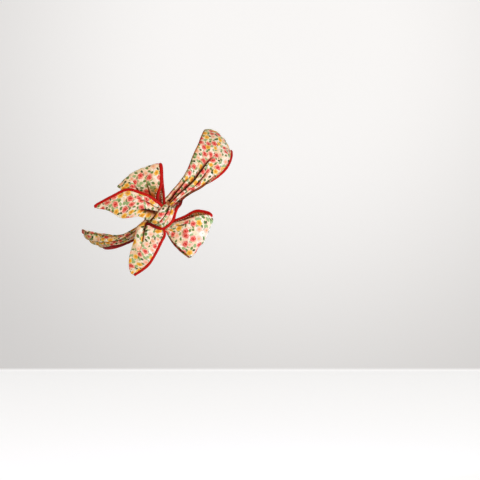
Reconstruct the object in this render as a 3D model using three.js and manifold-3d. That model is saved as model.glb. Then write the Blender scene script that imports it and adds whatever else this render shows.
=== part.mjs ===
// A pet's cooling scarf: one strip of double cotton with a piped edge, worn round the neck and tied in a bow.
// Millimetres, +Z up. The origin is the middle of the neck opening, and the bow faces -Y.

import * as THREE from "three";
import { mergeVertices } from "three/addons/utils/BufferGeometryUtils.js";
import Module from "manifold-3d";

const wasm = await Module();
wasm.setup();

// The neck that the band goes round
const NECK_LONG = 154;
const NECK_WIDE = 108;
const NAPE_RISE = THREE.MathUtils.degToRad(39);
const NECK_DIP = THREE.MathUtils.degToRad(38);

// The strip
const CLOTH = 1.2;
const HEM = 1.2;
const PIPING = 2.8;
const GAP = 0.4;

// The knot, on the band at this angle from the nape, and how far its middle stands off the band
const KNOT_ANGLE = 100.5;
const KNOT_DROOP = 21;
const KNOT_LIFT = 8;

// Facets: sections for each row of a table, facets for each ridge of a pleat, sides of the piping
const BAND_SECTIONS_PER_ROW = 4;
const BOW_SECTIONS_PER_ROW = 3;
const FACETS_PER_RIDGE = 4;
const PIPING_SIDES = 8;

// Sine of the flattest angle between the piping and a section that its seam allowance follows
const MOST_SLANT = 0.4;

// Corners closer than this are one corner, and half the step along the band that gives its direction
const SAME_CORNER = 1e-3;
const SMALL_STEP = 0.002;

// The band, a row for each section: angle from the nape towards the bow, droop towards the shoulder,
// width, height of the pleats, and crown of the cloth away from the neck
const BAND_RIDGES = 3;
const BAND = [
  { angle: 94, droop: 18, width: 12, ridge: 1.2, crown: 0 },
  { angle: 85, droop: 16, width: 12.5, ridge: 1.6, crown: 0 },
  { angle: 74, droop: 15, width: 16, ridge: 2.2, crown: 0 },
  { angle: 63, droop: 13.8, width: 22.5, ridge: 2.6, crown: 0.4 },
  { angle: 41, droop: 7.5, width: 33, ridge: 1, crown: 1.4 },
  { angle: 8, droop: -3, width: 32, ridge: 0.4, crown: 3.2 },
  { angle: -28, droop: 0, width: 26, ridge: 0.4, crown: 2.4 },
  { angle: -66, droop: 8.2, width: 14, ridge: 0.6, crown: 0.8 },
  { angle: -102, droop: 13, width: 9.5, ridge: 0.6, crown: 0.6 },
  { angle: -138, droop: 13, width: 8.5, ridge: 0.6, crown: 1 },
  { angle: -178, droop: -5.5, width: 27, ridge: 1.4, crown: 3.2 },
  { angle: -205, droop: 5.3, width: 12.5, ridge: 1.2, crown: 2.6 },
  { angle: -218, droop: 13.6, width: 8.4, ridge: 0.7, crown: 1.2 },
  { angle: -236, droop: 18.9, width: 8, ridge: 0.6, crown: 0.4 },
  { angle: -252, droop: 20.5, width: 9, ridge: 0.6, crown: 0 },
];

// The bow's stretches, a row for each section from the knot outwards. Each edge is [right, front, up] from the
// knot's middle: piped is the middle of the piping and plain is the folded edge. Then the height of the pleats,
// the crown of the cloth towards the front, and how far its middle bulges out beyond its edges.
const LOOP_RIDGES = 2;
const LOOP_UPPER = [
  { piped: [2, -2, 6], plain: [-7, -3, 2], ridge: 2, crown: 0, bulge: 0 },
  { piped: [1.5, -4, 16.5], plain: [-18, -5, 8.5], ridge: 2, crown: 0, bulge: 0 },
  { piped: [0, -4, 31.5], plain: [-32, -6, 17], ridge: 0.5, crown: 0, bulge: 2 },
  { piped: [-0.5, -2.5, 44], plain: [-40, -6, 24], ridge: 0, crown: 0, bulge: 4 },
  { piped: [-1.5, 0.5, 47], plain: [-42, -3, 25.5], ridge: 0, crown: 0, bulge: 5 },
  { piped: [-1, 3.5, 43.5], plain: [-40, 0, 24.5], ridge: 0, crown: 1, bulge: 4 },
  { piped: [-0.5, 6, 28.5], plain: [-33, 1, 17], ridge: 0.5, crown: 2, bulge: 2 },
  { piped: [-4, 5, 16.5], plain: [-19, 1, 8.5], ridge: 2, crown: 1, bulge: 0 },
  { piped: [-2, 3, 7.5], plain: [-9.5, 1, 1], ridge: 2, crown: 0, bulge: 0 },
];
const LOOP_RIGHT = [
  { piped: [6, -3, -3], plain: [3, -3, -7], ridge: 1, crown: 0, bulge: 0 },
  { piped: [21, -4, -3], plain: [10, -4, -25.5], ridge: 2, crown: 0, bulge: 0 },
  { piped: [32, -2, 2.5], plain: [17, -4, -34], ridge: 0.5, crown: 0, bulge: 2 },
  { piped: [43.5, 2, 1], plain: [24, -2, -40], ridge: 0, crown: 0, bulge: 4 },
  { piped: [47, 5, -2], plain: [26.5, 1, -41.5], ridge: 0, crown: 0, bulge: 5 },
  { piped: [43.5, 8, -0.5], plain: [25, 4, -40], ridge: 0, crown: 1, bulge: 4 },
  { piped: [33, 9, -1.5], plain: [17.5, 5, -33], ridge: 0.5, crown: 2, bulge: 2 },
  { piped: [22, 6, -5.5], plain: [10.5, 3, -24], ridge: 2, crown: 1, bulge: 0 },
  { piped: [7, 1, -5], plain: [4, 1, -8], ridge: 1, crown: 0, bulge: 0 },
];
const TAIL_RIDGES = 2;
const TAIL_LEFT = [
  { piped: [1, 8, 6.5], plain: [-13, 5, -5.5], ridge: -1.5, crown: 0, bulge: 0 },
  { piped: [-9.5, 10, 15], plain: [-21, 7, -2], ridge: -2, crown: 0, bulge: 0 },
  { piped: [-21, 10, 20], plain: [-30.5, 6, -3.5], ridge: -0.5, crown: 1.5, bulge: 0 },
  { piped: [-33, 8, 22.5], plain: [-39, 4, -3.5], ridge: 0, crown: 2, bulge: 0 },
  { piped: [-47.5, 5, 16], plain: [-49.5, 2, 3], ridge: 0, crown: 1, bulge: 0 },
  { piped: [-61, 0, 9], plain: [-62, -0.5, 5.5], ridge: 0, crown: 0, bulge: 0 },
];
const TAIL_LOWER = [
  { piped: [-1, 1, -6], plain: [-12, 1, -3], ridge: 1.5, crown: 0, bulge: 0 },
  { piped: [2.5, 1, -19], plain: [-23, 2, -13.5], ridge: 2.5, crown: 0, bulge: 0 },
  { piped: [-0.5, 3, -26.5], plain: [-26, 2, -25.5], ridge: 1, crown: 1.5, bulge: 0 },
  { piped: [-6.5, 2, -38.5], plain: [-30, 0, -38], ridge: 0.3, crown: 2.5, bulge: 0 },
  { piped: [-14, 0, -49.5], plain: [-31, -2, -49.5], ridge: 0, crown: 1.5, bulge: 0 },
  { piped: [-25, -4, -57.5], plain: [-28, -4, -56.5], ridge: 0, crown: 0, bulge: 0 },
];

// The knot's two bundles: a pleated wrap that runs down to the left over its front, and the crossing strip
// beside it. Each has its middle as [right, front, up], its axis' slope, its sizes, its facets and its pleats.
const KNOT_RINGS = 10;
const WRAP = {
  middle: [1, 0, 0],
  slope: THREE.MathUtils.degToRad(51),
  long: 27,
  wide: 19,
  deep: 20,
  sides: 24,
  ridges: 6,
  ridge: 1.2,
};
const CROSSING = {
  middle: [-12, -1, -0.5],
  slope: THREE.MathUtils.degToRad(90),
  long: 18,
  wide: 16,
  deep: 14,
  sides: 12,
  ridges: 0,
  ridge: 0,
};

// The piping on the wrap's lower edge: its middle line is an arc in front of the knot
const ARC_MIDDLE = [-0.5, 5.5, 1];
const ARC_WIDE = 26;
const ARC_HIGH = 29;
const ARC_START = THREE.MathUtils.degToRad(15);
const ARC_END = THREE.MathUtils.degToRad(-155);
const ARC_STEPS = 18;

const floralCotton = new THREE.MeshStandardMaterial({ color: 0xe0bd95, roughness: 0.9, metalness: 0 });
const redPiping = new THREE.MeshStandardMaterial({ color: 0xc82c18, roughness: 0.6, metalness: 0 });

const nape = new THREE.Vector3(Math.cos(NAPE_RISE), 0, Math.sin(NAPE_RISE));
const bowSide = new THREE.Vector3(0, -1, 0);
const shoulder = new THREE.Vector3(Math.cos(NECK_DIP), 0, -Math.sin(NECK_DIP));

// A point of the band's middle line
function bandPoint(angle, droop) {
  const turn = THREE.MathUtils.degToRad(angle);
  return new THREE.Vector3()
    .addScaledVector(nape, ((NECK_LONG + CLOTH) / 2) * Math.cos(turn))
    .addScaledVector(bowSide, ((NECK_WIDE + CLOTH) / 2) * Math.sin(turn))
    .addScaledVector(shoulder, droop);
}

const knotMiddle = bandPoint(KNOT_ANGLE, KNOT_DROOP).addScaledVector(bowSide, KNOT_LIFT);

// A point given as [right, front, up] from the knot's middle
function bowPoint([right, front, up]) {
  return new THREE.Vector3(right, -front, up).add(knotMiddle);
}

// A smooth line through the rows of a table
function track(rows, place) {
  return new THREE.CatmullRomCurve3(rows.map(place), false, "catmullrom");
}

// Rounded ridges with sharp valleys between them, over 0 to 1
function pleat(ridges, across) {
  return Math.abs(Math.sin(Math.PI * ridges * across));
}

// A low arch over 0 to 1
function arch(across) {
  return 4 * across * (1 - across);
}

// Places across a strip of this width, from 0 to 1: a flat hem along each edge, and the pleats between
function placesAcross(width, ridges) {
  const hem = HEM / width;
  const columns = ridges * FACETS_PER_RIDGE;
  const places = [{ across: 0, height: 0 }];
  for (let j = 0; j <= columns; j++) {
    const across = THREE.MathUtils.lerp(hem, 1 - hem, j / columns);
    places.push({ across, height: pleat(ridges, j / columns) });
  }
  places.push({ across: 1, height: 0 });
  return places;
}

// How far the middle of the piping lies from the cloth's edge, along a section that crosses the seam at a slant
function seamAllowance(wide, run) {
  const slant = wide.clone().cross(run).length();
  return (PIPING / 2 + GAP) / Math.max(slant, MOST_SLANT);
}

// The sections of the band, each a row of points from its head edge to its shoulder edge
function bandSections() {
  const course = track(BAND, (row) => new THREE.Vector3(row.angle, row.droop, row.width));
  const heights = track(BAND, (row) => new THREE.Vector3(row.ridge, row.crown, 0));
  const steps = (BAND.length - 1) * BAND_SECTIONS_PER_ROW;
  const sections = [];
  for (let i = 0; i <= steps; i++) {
    const at = course.getPoint(i / steps);
    const { x: ridge, y: crown } = heights.getPoint(i / steps);
    const middle = bandPoint(at.x, at.y);
    const before = course.getPoint(Math.max(i / steps - SMALL_STEP, 0));
    const after = course.getPoint(Math.min(i / steps + SMALL_STEP, 1));
    const run = bandPoint(after.x, after.y).sub(bandPoint(before.x, before.y)).normalize();
    const wide = shoulder.clone().addScaledVector(run, -shoulder.dot(run)).normalize();
    const outward = wide.clone().cross(run).normalize();
    const section = placesAcross(at.z, BAND_RIDGES).map(({ across, height }) => {
      return middle
        .clone()
        .addScaledVector(wide, (across - 0.5) * at.z)
        .addScaledVector(outward, ridge * height + crown * arch(across));
    });
    sections.push(section);
  }
  return sections;
}

// The sections of one stretch of the bow, each a row of points from its piped edge to its plain edge
function bowSections(rows, ridges) {
  const piped = track(rows, (row) => bowPoint(row.piped));
  const plain = track(rows, (row) => bowPoint(row.plain));
  const form = track(rows, (row) => new THREE.Vector3(row.ridge, row.crown, row.bulge));
  const middles = rows.map((row) => bowPoint(row.piped).add(bowPoint(row.plain)).divideScalar(2));
  const reach = middles.reduce((far, point) =>
    point.distanceTo(knotMiddle) > far.distanceTo(knotMiddle) ? point : far,
  );
  const outwards = reach.clone().sub(knotMiddle).setY(0).normalize();
  const steps = (rows.length - 1) * BOW_SECTIONS_PER_ROW;
  const sections = [];
  for (let i = 0; i <= steps; i++) {
    const edge = piped.getPoint(i / steps);
    const fold = plain.getPoint(i / steps);
    const shape = form.getPoint(i / steps);
    const wide = fold.clone().sub(edge).normalize();
    const seam = edge.clone().addScaledVector(wide, seamAllowance(wide, piped.getTangent(i / steps)));
    const section = placesAcross(seam.distanceTo(fold), ridges).map(({ across, height }) => {
      const rise = arch(across);
      return seam
        .clone()
        .lerp(fold, across)
        .addScaledVector(bowSide, shape.x * height + shape.y * rise)
        .addScaledVector(outwards, shape.z * rise);
    });
    sections.push(section);
  }
  return sections;
}

// A closed solid from its corners and triangles, with its faces turned outwards
function closedGeometry(corners, triangles) {
  const volume = triangles.reduce((sum, [a, b, c]) => {
    return sum + corners[a].dot(corners[b].clone().cross(corners[c]));
  }, 0);
  const faces = volume < 0 ? triangles.map(([a, b, c]) => [a, c, b]) : triangles;
  const geometry = new THREE.BufferGeometry().setFromPoints(corners);
  geometry.setIndex(faces.flat());
  return geometry;
}

// A cloth wall: the sections' surface, thickened to both sides and closed round its rim
function clothWall(sections) {
  const rows = sections.length;
  const columns = sections[0].length;
  const corners = [];
  for (const side of [1, -1]) {
    for (let i = 0; i < rows; i++) {
      for (let j = 0; j < columns; j++) {
        const along = sections[Math.min(i + 1, rows - 1)][j].clone().sub(sections[Math.max(i - 1, 0)][j]);
        const across = sections[i][Math.min(j + 1, columns - 1)].clone().sub(sections[i][Math.max(j - 1, 0)]);
        const normal = along.cross(across).normalize();
        corners.push(sections[i][j].clone().addScaledVector(normal, (side * CLOTH) / 2));
      }
    }
  }
  const front = (i, j) => i * columns + j;
  const back = (i, j) => (rows + i) * columns + j;
  const triangles = [];
  const quad = (a, b, c, d) => triangles.push([a, b, c], [a, c, d]);
  for (let i = 0; i < rows - 1; i++) {
    for (let j = 0; j < columns - 1; j++) {
      quad(front(i, j), front(i + 1, j), front(i + 1, j + 1), front(i, j + 1));
      quad(back(i, j), back(i, j + 1), back(i + 1, j + 1), back(i + 1, j));
    }
    quad(front(i, 0), back(i, 0), back(i + 1, 0), front(i + 1, 0));
    quad(front(i + 1, columns - 1), back(i + 1, columns - 1), back(i, columns - 1), front(i, columns - 1));
  }
  for (let j = 0; j < columns - 1; j++) {
    quad(front(0, j + 1), back(0, j + 1), back(0, j), front(0, j));
    quad(front(rows - 1, j), back(rows - 1, j), back(rows - 1, j + 1), front(rows - 1, j + 1));
  }
  return closedGeometry(corners, triangles);
}

// Piping along a line of points
function pipingAlong(points, steps, clearance = 0) {
  const round = new THREE.Shape().absarc(0, 0, PIPING / 2 + clearance, 0, 2 * Math.PI);
  const extrudePath = new THREE.CatmullRomCurve3(points);
  const curveSegments = PIPING_SIDES / 2;
  return new THREE.ExtrudeGeometry(round, { steps, extrudePath, curveSegments, bevelEnabled: false });
}

// A rounded bundle, drawn out along a sloping axis, with pleats that run from end to end
function bundle({ middle, slope, long, wide, deep, sides, ridges, ridge }, clearance) {
  const axis = new THREE.Vector3(Math.cos(slope), 0, Math.sin(slope));
  const side = new THREE.Vector3(Math.sin(slope), 0, -Math.cos(slope));
  const centre = bowPoint(middle);
  const halfLong = long / 2 + clearance;
  const halfWide = wide / 2 + clearance;
  const halfDeep = deep / 2 + clearance;
  const corners = [centre.clone().addScaledVector(axis, halfLong)];
  for (let i = 1; i < KNOT_RINGS; i++) {
    const fall = (Math.PI * i) / KNOT_RINGS;
    for (let j = 0; j < sides; j++) {
      const turn = (2 * Math.PI * j) / sides;
      const valley = (ridge / halfDeep) * (1 - pleat(ridges / 2, j / sides));
      const reach = (1 - valley) * Math.sin(fall);
      corners.push(
        centre
          .clone()
          .addScaledVector(axis, halfLong * Math.cos(fall))
          .addScaledVector(side, halfWide * reach * Math.sin(turn))
          .addScaledVector(bowSide, halfDeep * reach * Math.cos(turn)),
      );
    }
  }
  const end = corners.push(centre.clone().addScaledVector(axis, -halfLong)) - 1;
  const at = (i, j) => 1 + (i - 1) * sides + (j % sides);
  const triangles = [];
  for (let j = 0; j < sides; j++) {
    triangles.push([0, at(1, j), at(1, j + 1)]);
    triangles.push([end, at(KNOT_RINGS - 1, j + 1), at(KNOT_RINGS - 1, j)]);
    for (let i = 1; i < KNOT_RINGS - 1; i++) {
      triangles.push([at(i, j), at(i + 1, j), at(i + 1, j + 1)]);
      triangles.push([at(i, j), at(i + 1, j + 1), at(i, j + 1)]);
    }
  }
  return closedGeometry(corners, triangles);
}

function toSolid(geometry) {
  const bare = geometry.clone();
  bare.deleteAttribute("normal");
  bare.deleteAttribute("uv");
  const merged = mergeVertices(bare, SAME_CORNER);
  const vertProperties = new Float32Array(merged.attributes.position.array);
  const triVerts = new Uint32Array(merged.index.array);
  return new wasm.Manifold(new wasm.Mesh({ numProp: 3, vertProperties, triVerts }));
}

function toGeometry(solid) {
  const mesh = solid.getMesh();
  const geometry = new THREE.BufferGeometry();
  geometry.setAttribute("position", new THREE.BufferAttribute(new Float32Array(mesh.vertProperties), 3));
  geometry.setIndex(new THREE.BufferAttribute(new Uint32Array(mesh.triVerts), 1));
  return mergeVertices(geometry, SAME_CORNER);
}

// The two bundles of the knot in one, grown by a clearance where it is used to trim the pieces that meet it
function knotSolid(clearance) {
  return toSolid(bundle(WRAP, clearance)).add(toSolid(bundle(CROSSING, clearance)));
}

// The largest body that stays of a piece where another takes its room
function outside(geometry, room) {
  const pieces = toSolid(geometry).subtract(room).decompose();
  return toGeometry(pieces.reduce((most, piece) => (piece.volume() > most.volume() ? piece : most)));
}

const scarf = new THREE.Group();
scarf.name = "cooling_scarf";

function addPiece(name, geometry, material) {
  const mesh = new THREE.Mesh(geometry, material);
  mesh.name = name;
  scarf.add(mesh);
}

// The knot and the piping on its lower edge, and the room that the two need
const arc = [];
for (let i = 0; i <= ARC_STEPS; i++) {
  const turn = THREE.MathUtils.lerp(ARC_START, ARC_END, i / ARC_STEPS);
  const [right, front, up] = ARC_MIDDLE;
  arc.push(bowPoint([right + (ARC_WIDE / 2) * Math.cos(turn), front, up + (ARC_HIGH / 2) * Math.sin(turn)]));
}
const wrapRoom = knotSolid(GAP);
const knotRoom = wrapRoom.add(toSolid(pipingAlong(arc, ARC_STEPS, GAP)));
addPiece("knot", toGeometry(knotSolid(0)), floralCotton);
addPiece("knot_piping", outside(pipingAlong(arc, ARC_STEPS), wrapRoom), redPiping);

// The band and its piping, which lies just beyond the shoulder edge
const band = bandSections();
addPiece("neck_band", outside(clothWall(band), knotRoom), floralCotton);
const bandEdge = band.map((section) => section[section.length - 1]);
const bandSeam = band.map((section, i) => {
  const wide = bandEdge[i].clone().sub(section[0]).normalize();
  const run = bandEdge[Math.min(i + 1, band.length - 1)].clone().sub(bandEdge[Math.max(i - 1, 0)]).normalize();
  return bandEdge[i].clone().addScaledVector(wide, seamAllowance(wide, run));
});
addPiece("neck_band_piping", outside(pipingAlong(bandSeam, bandSeam.length - 1), knotRoom), redPiping);

// The loops and tails, each with its piping
const stretches = [
  { name: "loop_upper", rows: LOOP_UPPER, ridges: LOOP_RIDGES },
  { name: "loop_right", rows: LOOP_RIGHT, ridges: LOOP_RIDGES },
  { name: "tail_left", rows: TAIL_LEFT, ridges: TAIL_RIDGES },
  { name: "tail_lower", rows: TAIL_LOWER, ridges: TAIL_RIDGES },
];
for (const { name, rows, ridges } of stretches) {
  const seam = track(rows, (row) => bowPoint(row.piped));
  const steps = (rows.length - 1) * BOW_SECTIONS_PER_ROW;
  addPiece(name, outside(clothWall(bowSections(rows, ridges)), knotRoom), floralCotton);
  addPiece(`${name}_piping`, outside(pipingAlong(seam.getPoints(steps), steps), knotRoom), redPiping);
}

export default scarf;
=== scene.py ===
# %% [markdown]
# # A tied scarf of printed cotton
# The object is a small scarf: one long strip of double cotton with a small floral print, a fold on one long
# edge and red piping in the other, worn as a closed loop and tied in a bow at its side. It could be modelled
# anywhere and fitted later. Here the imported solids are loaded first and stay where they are, and the pieces
# made below take their places, so that nothing has to be fitted.

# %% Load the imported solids
import math
from collections import namedtuple

import bpy
import numpy as np
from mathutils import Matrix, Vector


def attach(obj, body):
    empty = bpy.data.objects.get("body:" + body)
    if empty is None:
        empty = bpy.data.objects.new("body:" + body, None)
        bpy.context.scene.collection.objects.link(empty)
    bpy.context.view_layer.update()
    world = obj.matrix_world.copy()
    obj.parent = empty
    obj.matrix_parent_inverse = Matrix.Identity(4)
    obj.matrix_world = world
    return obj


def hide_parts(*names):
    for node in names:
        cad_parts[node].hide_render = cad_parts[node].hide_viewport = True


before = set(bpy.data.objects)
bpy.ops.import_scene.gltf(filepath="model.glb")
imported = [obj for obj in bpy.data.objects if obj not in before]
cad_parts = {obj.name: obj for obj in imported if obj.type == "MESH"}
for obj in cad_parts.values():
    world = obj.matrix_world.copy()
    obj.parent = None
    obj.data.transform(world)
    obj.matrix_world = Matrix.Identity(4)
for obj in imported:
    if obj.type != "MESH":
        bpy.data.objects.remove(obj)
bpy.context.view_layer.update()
MM = 0.001

# %% [markdown]
# ## The camera
# A picture of a small thing is taken from some way off with a long lens, which keeps its shape true. The
# camera could be placed by eye. Here its place and its lens were found by laying the solids' outline over the
# picture until the two agreed. The camera is level, so upright lines stay upright.

# %% Camera
LENS_MM = 142.1
CAMERA_PLACE = (0.0796, -1.860, -0.0468)

camera = bpy.data.objects.new("camera", bpy.data.cameras.new("camera"))
camera.data.lens = LENS_MM
camera.location = CAMERA_PLACE
camera.rotation_euler = (math.radians(90), 0, 0)
bpy.context.scene.collection.objects.link(camera)
bpy.context.scene.camera = camera
print("camera at", CAMERA_PLACE, "with a lens of", LENS_MM, "mm")

# %% [markdown]
# ## Smooth lines through short tables
# Each stretch of the strip bends and widens slowly along its length. It could be sculpted by hand, but then
# nothing in it could be measured or changed later. So it is drawn from a short table with a row for each
# section, and a Catmull-Rom line through the rows gives every section between them. The solids use the same
# line, so the cloth lies where they are.

# %% Lines through tables
def track(rows, places):
    """Points at places 0 to 1 of a smooth line through the rows of a table."""
    rows = np.asarray(rows, float)
    line = np.vstack([2 * rows[0] - rows[1], rows, 2 * rows[-1] - rows[-2]])
    spot = np.clip(places, 0, 1) * (len(rows) - 1)
    k = np.minimum(spot.astype(int), len(rows) - 2)
    t = (spot - k)[:, None]
    a, b, c, d = line[k], line[k + 1], line[k + 2], line[k + 3]
    return b + t * (c - a) / 2 + t**2 * (a - 2.5 * b + 2 * c - d / 2) + t**3 * (1.5 * (b - c) + (d - a) / 2)


def between(pairs, places):
    """Values between those of a short table, whose rows are a place and a value."""
    return np.interp(places, *zip(*pairs))


def unit(vectors):
    """The vectors, each made one long."""
    return vectors / np.linalg.norm(vectors, axis=-1, keepdims=True)


quarter = track([[0], [1], [4]], np.array([0.25]))[0, 0]
print("a smooth line through 0, 1 and 4 is at", quarter, "after a quarter of its way")

# %% [markdown]
# ## How cotton creases
# Cloth that is gathered into a knot doesn't ripple evenly. It rises in puffy ridges, and between them it
# drops into narrow folds where one ridge lies over the next. A cloth simulation makes such folds, but not in
# chosen places. So a fold is drawn as a drop that also slides under the ridge beside it: the ridge ends in a
# crisp round lip, and the cloth under it slopes in more slowly. Each point also gets a painted shade from 0
# to 1 for how deep in a fold it lies, which the finishes paint into its colour as the shade that falls there.

# %% Folds
OVERLAP = 1.8
LIP_SLIDE, LIP_RISE, LIP_OPENS = 0.8, 0.4, 0.02
UNDER_SLIDE, UNDER_RISE = 1.6, 0.56
# How wide the painted shade in a fold is on the lip's side and under it, and how deep a fold must be for it
# to be full
CREASE_LIP, CREASE_UNDER, CREASE_FULL = 0.32, 1.0, 2.2
LEAST_CREASE = 0.05

Fold = namedtuple("Fold", "across deep under open")


def lip_bend(under):
    """Length of cloth from the bottom of a fold that slides under this far to the edge of its lip."""
    return LIP_SLIDE * np.log(np.maximum(OVERLAP * np.abs(under) / LIP_SLIDE, 1))


def lip_place(under):
    """How far the edge of a fold's lip is from the bend of its table."""
    return np.sign(under) * np.minimum(OVERLAP * np.abs(under), LIP_SLIDE + lip_bend(under))


def fold_side(distance, fold, side):
    """Drop, slide and painted shade at a distance from a fold.

    side is -1 on the fold's side towards the piped edge, and 1 on its other side."""
    lip = fold.under * side <= 0
    slide = OVERLAP * np.abs(fold.under) * np.exp(-distance / np.where(lip, LIP_SLIDE, UNDER_SLIDE))
    rise = np.where(lip, LIP_RISE + LIP_OPENS * fold.deep, UNDER_RISE + fold.open)
    shown = distance - np.where(lip, lip_bend(fold.under), slide - np.abs(lip_place(fold.under)))
    full = np.clip(fold.deep / CREASE_FULL, LEAST_CREASE, 1)
    width = full * np.where(lip, CREASE_LIP, CREASE_UNDER + fold.open)
    crease = full * np.exp(-((np.maximum(shown, 0) / width) ** 2))
    return fold.deep * np.exp(-distance / rise), -np.sign(fold.under) * slide, crease


print(f"a fold that slides under by 1 mm has its lip {lip_place(1.0):.2f} mm from its bend")

# %% [markdown]
# ## Crumpled cotton
# Between its folds, worn cotton is never quite flat. A Displace modifier with a noise texture could crumple
# it, but would also lift the edge that has to stay on the piping. So a few long sine waves in random
# directions are added up in code. Their seed is fixed, so that every run gives the same cloth, and they fade
# out towards the piped edge.

# %% Crumples
CRUMPLE_WAVES, PITCH_SPREAD = 10, (0.7, 1.6)
CRUMPLE_WIDE, WIDE_PITCH = 0.45, 17
CRUMPLE_FINE, FINE_PITCH = 0.12, 6
CRUMPLE_FADE = 8


def crumple(points, pitch, seed):
    """Smooth random heights, mostly from -1 to 1, with waves of about this pitch in millimetres."""
    rng = np.random.default_rng(seed)
    direction = unit(rng.normal(size=(CRUMPLE_WAVES, 3)))
    number = direction * (2 * np.pi / (pitch * rng.uniform(*PITCH_SPREAD, CRUMPLE_WAVES)))[:, None]
    phase = rng.uniform(0, 2 * np.pi, CRUMPLE_WAVES)
    return np.sin(points @ number.T + phase).sum(-1) * (2 / CRUMPLE_WAVES) ** 0.5


def facing_of(grid):
    """Normals at the points of a grid, each as long as the area round its point."""
    return np.cross(np.gradient(grid, axis=0), np.gradient(grid, axis=1))


def crumpled(grid, seed):
    """The grid with wide and fine crumples, which leave its piped edge as it is."""
    soft = np.clip(np.linspace(0, 1, grid.shape[1]) * CRUMPLE_FADE, 0, 1)[None, :, None]
    outwards = unit(facing_of(grid).sum(axis=1, keepdims=True))
    wide, fine = crumple(grid, WIDE_PITCH, seed), crumple(grid, FINE_PITCH, seed + 1)
    return grid + outwards * (soft * (CRUMPLE_WIDE * wide + CRUMPLE_FINE * fine)[..., None])


print("crumples:", CRUMPLE_WIDE, "mm high about every", WIDE_PITCH, "mm, finer ones", CRUMPLE_FINE, "mm")

# %% [markdown]
# ## One strip, many stretches
# A stretch of the strip is a grid of points: rows along it and columns across it, from the piped edge to the
# folded edge. An even grid that is displaced later would blur every crease. Here the columns are tied to the
# folds, so that a crease always falls on a column and stays sharp. At the piped edge the cloth can curl over,
# which hides the piping behind it.

# %% Grid of a stretch
PIPING = 2.8
CURL_RADIUS, CURL_COLUMNS, LEAST_CURL = 1.7, 7, 0.12
COLUMN_PITCH, LEAST_COLUMNS = 0.5, 12
LEAST_RIDGE, RIDGE_ROUND = 0.6, 0.8


def curled_edge(seam, wide, front, turn, lip):
    """The columns of the curl at the piped edge, and the line of the piping beyond them."""
    edge = []
    for j in range(CURL_COLUMNS):
        bend = turn * (1 - j / CURL_COLUMNS)
        over = wide * (lip - CURL_RADIUS * np.sin(bend) + PIPING / 2)[:, None]
        edge.append(seam + over - front * (CURL_RADIUS * (1 - np.cos(bend)))[:, None])
    beyond = wide * np.cos(turn)[:, None] + front * np.sin(turn)[:, None]
    return edge, edge[0] - beyond * PIPING / 2


def cloth_grid(seam, wide, front, length, ridge, crown, curl, folds):
    """The middle surface of a stretch, the line of its piping and the painted shade in its folds, with a row
    for each section.

    seam is the middle of the piping, wide points from there across the cloth, and front out of it."""
    rows = len(seam)
    cloth = length - PIPING / 2
    bends = [np.zeros(rows), *(fold.across * cloth + lip_place(fold.under) for fold in folds), cloth]
    flat = Fold(*np.zeros((4, rows)))
    folds = [flat, *folds, flat]
    turn = np.maximum(curl * np.pi, LEAST_CURL)
    lip = CURL_RADIUS * np.sin(np.minimum(turn, np.pi / 2))
    columns, creases = [], [np.zeros(rows)] * CURL_COLUMNS
    for k in range(len(bends) - 1):
        stretch = np.maximum(bends[k + 1] - bends[k], LEAST_RIDGE)
        count = max(LEAST_COLUMNS, int(stretch.max() / COLUMN_PITCH))
        last = k == len(bends) - 2
        for j in range(count + last):
            share = (1 - math.cos(math.pi * j / count)) / 2
            near, far = share * stretch, (1 - share) * stretch
            drop, slide, crease = fold_side(near, folds[k], 1)
            next_drop, next_slide, next_crease = fold_side(far, folds[k + 1], -1)
            spot = bends[k] + near
            rise = 4 * (spot / cloth) * (1 - spot / cloth)
            height = ridge * math.sin(math.pi * share) ** RIDGE_ROUND + crown * rise - drop - next_drop
            spot = lip + (spot + slide + next_slide) * (1 - lip / cloth)
            columns.append(seam + wide * (PIPING / 2 + spot)[:, None] + front * height[:, None])
            creases.append(np.maximum(crease, next_crease))
    edge, piping_line = curled_edge(seam, wide, front, turn, lip)
    return np.stack(edge + columns, axis=1), piping_line, np.stack(creases, axis=1)


print("a curl has", CURL_COLUMNS, "columns, and every ridge at least", LEAST_COLUMNS)

# %% [markdown]
# ## From a surface to cloth
# The strip is sewn from one piece of cotton folded along its length, so a stretch is two layers with a soft
# fold at one edge and a seam at the other. A Solidify modifier would thicken a grid, but leave square edges.
# So each grid is thickened to both sides in code and closed with round rims. The flat strip's own measures
# become the UV map, in metres: round the cloth, and along the strip. A print that reads this map runs into
# the folds and is cut off by them, as on real cloth.

# %% Meshes
def mesh_object(name, points, faces, uvs=None):
    """A smooth mesh object at the origin, from points in millimetres, with its faces turned outwards."""
    mesh = bpy.data.meshes.new(name)
    mesh.from_pydata((np.asarray(points) * MM).tolist(), [], faces)
    if uvs is not None:
        layer = mesh.uv_layers.new(name="UVMap")
        flat = np.array([uv for face in uvs for uv in face], np.float32)
        layer.data.foreach_set("uv", (flat * MM).ravel())
    mesh.update()
    mesh.calc_loop_triangles()
    corners = np.array([t.vertices[:] for t in mesh.loop_triangles])
    a, b, c = np.asarray(points, float)[corners.T]
    if np.einsum("ij,ij->i", a, np.cross(b, c)).sum() < 0:
        mesh.flip_normals()
    mesh.polygons.foreach_set("use_smooth", [True] * len(mesh.polygons))
    made = bpy.data.objects.new(name, mesh)
    bpy.context.scene.collection.objects.link(made)
    return made


def keep(mesh, label, values):
    """Keeps a number for each point of a mesh, under a name that nodes can ask for."""
    flat = np.asarray(values, np.float32).ravel()
    mesh.attributes.new(label, "FLOAT", "POINT").data.foreach_set("value", flat)


def tube_faces(rings, size):
    """Faces round a tube. A corner is a ring and a place on it, and place size is the first place again."""
    spots = [(i, j) for i in range(rings - 1) for j in range(size)]
    return [[(i, j), (i + 1, j), (i + 1, j + 1), (i, j + 1)] for i, j in spots]


print("a tube of 3 rings with 4 points each has", len(tube_faces(3, 4)), "faces round it")

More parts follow.
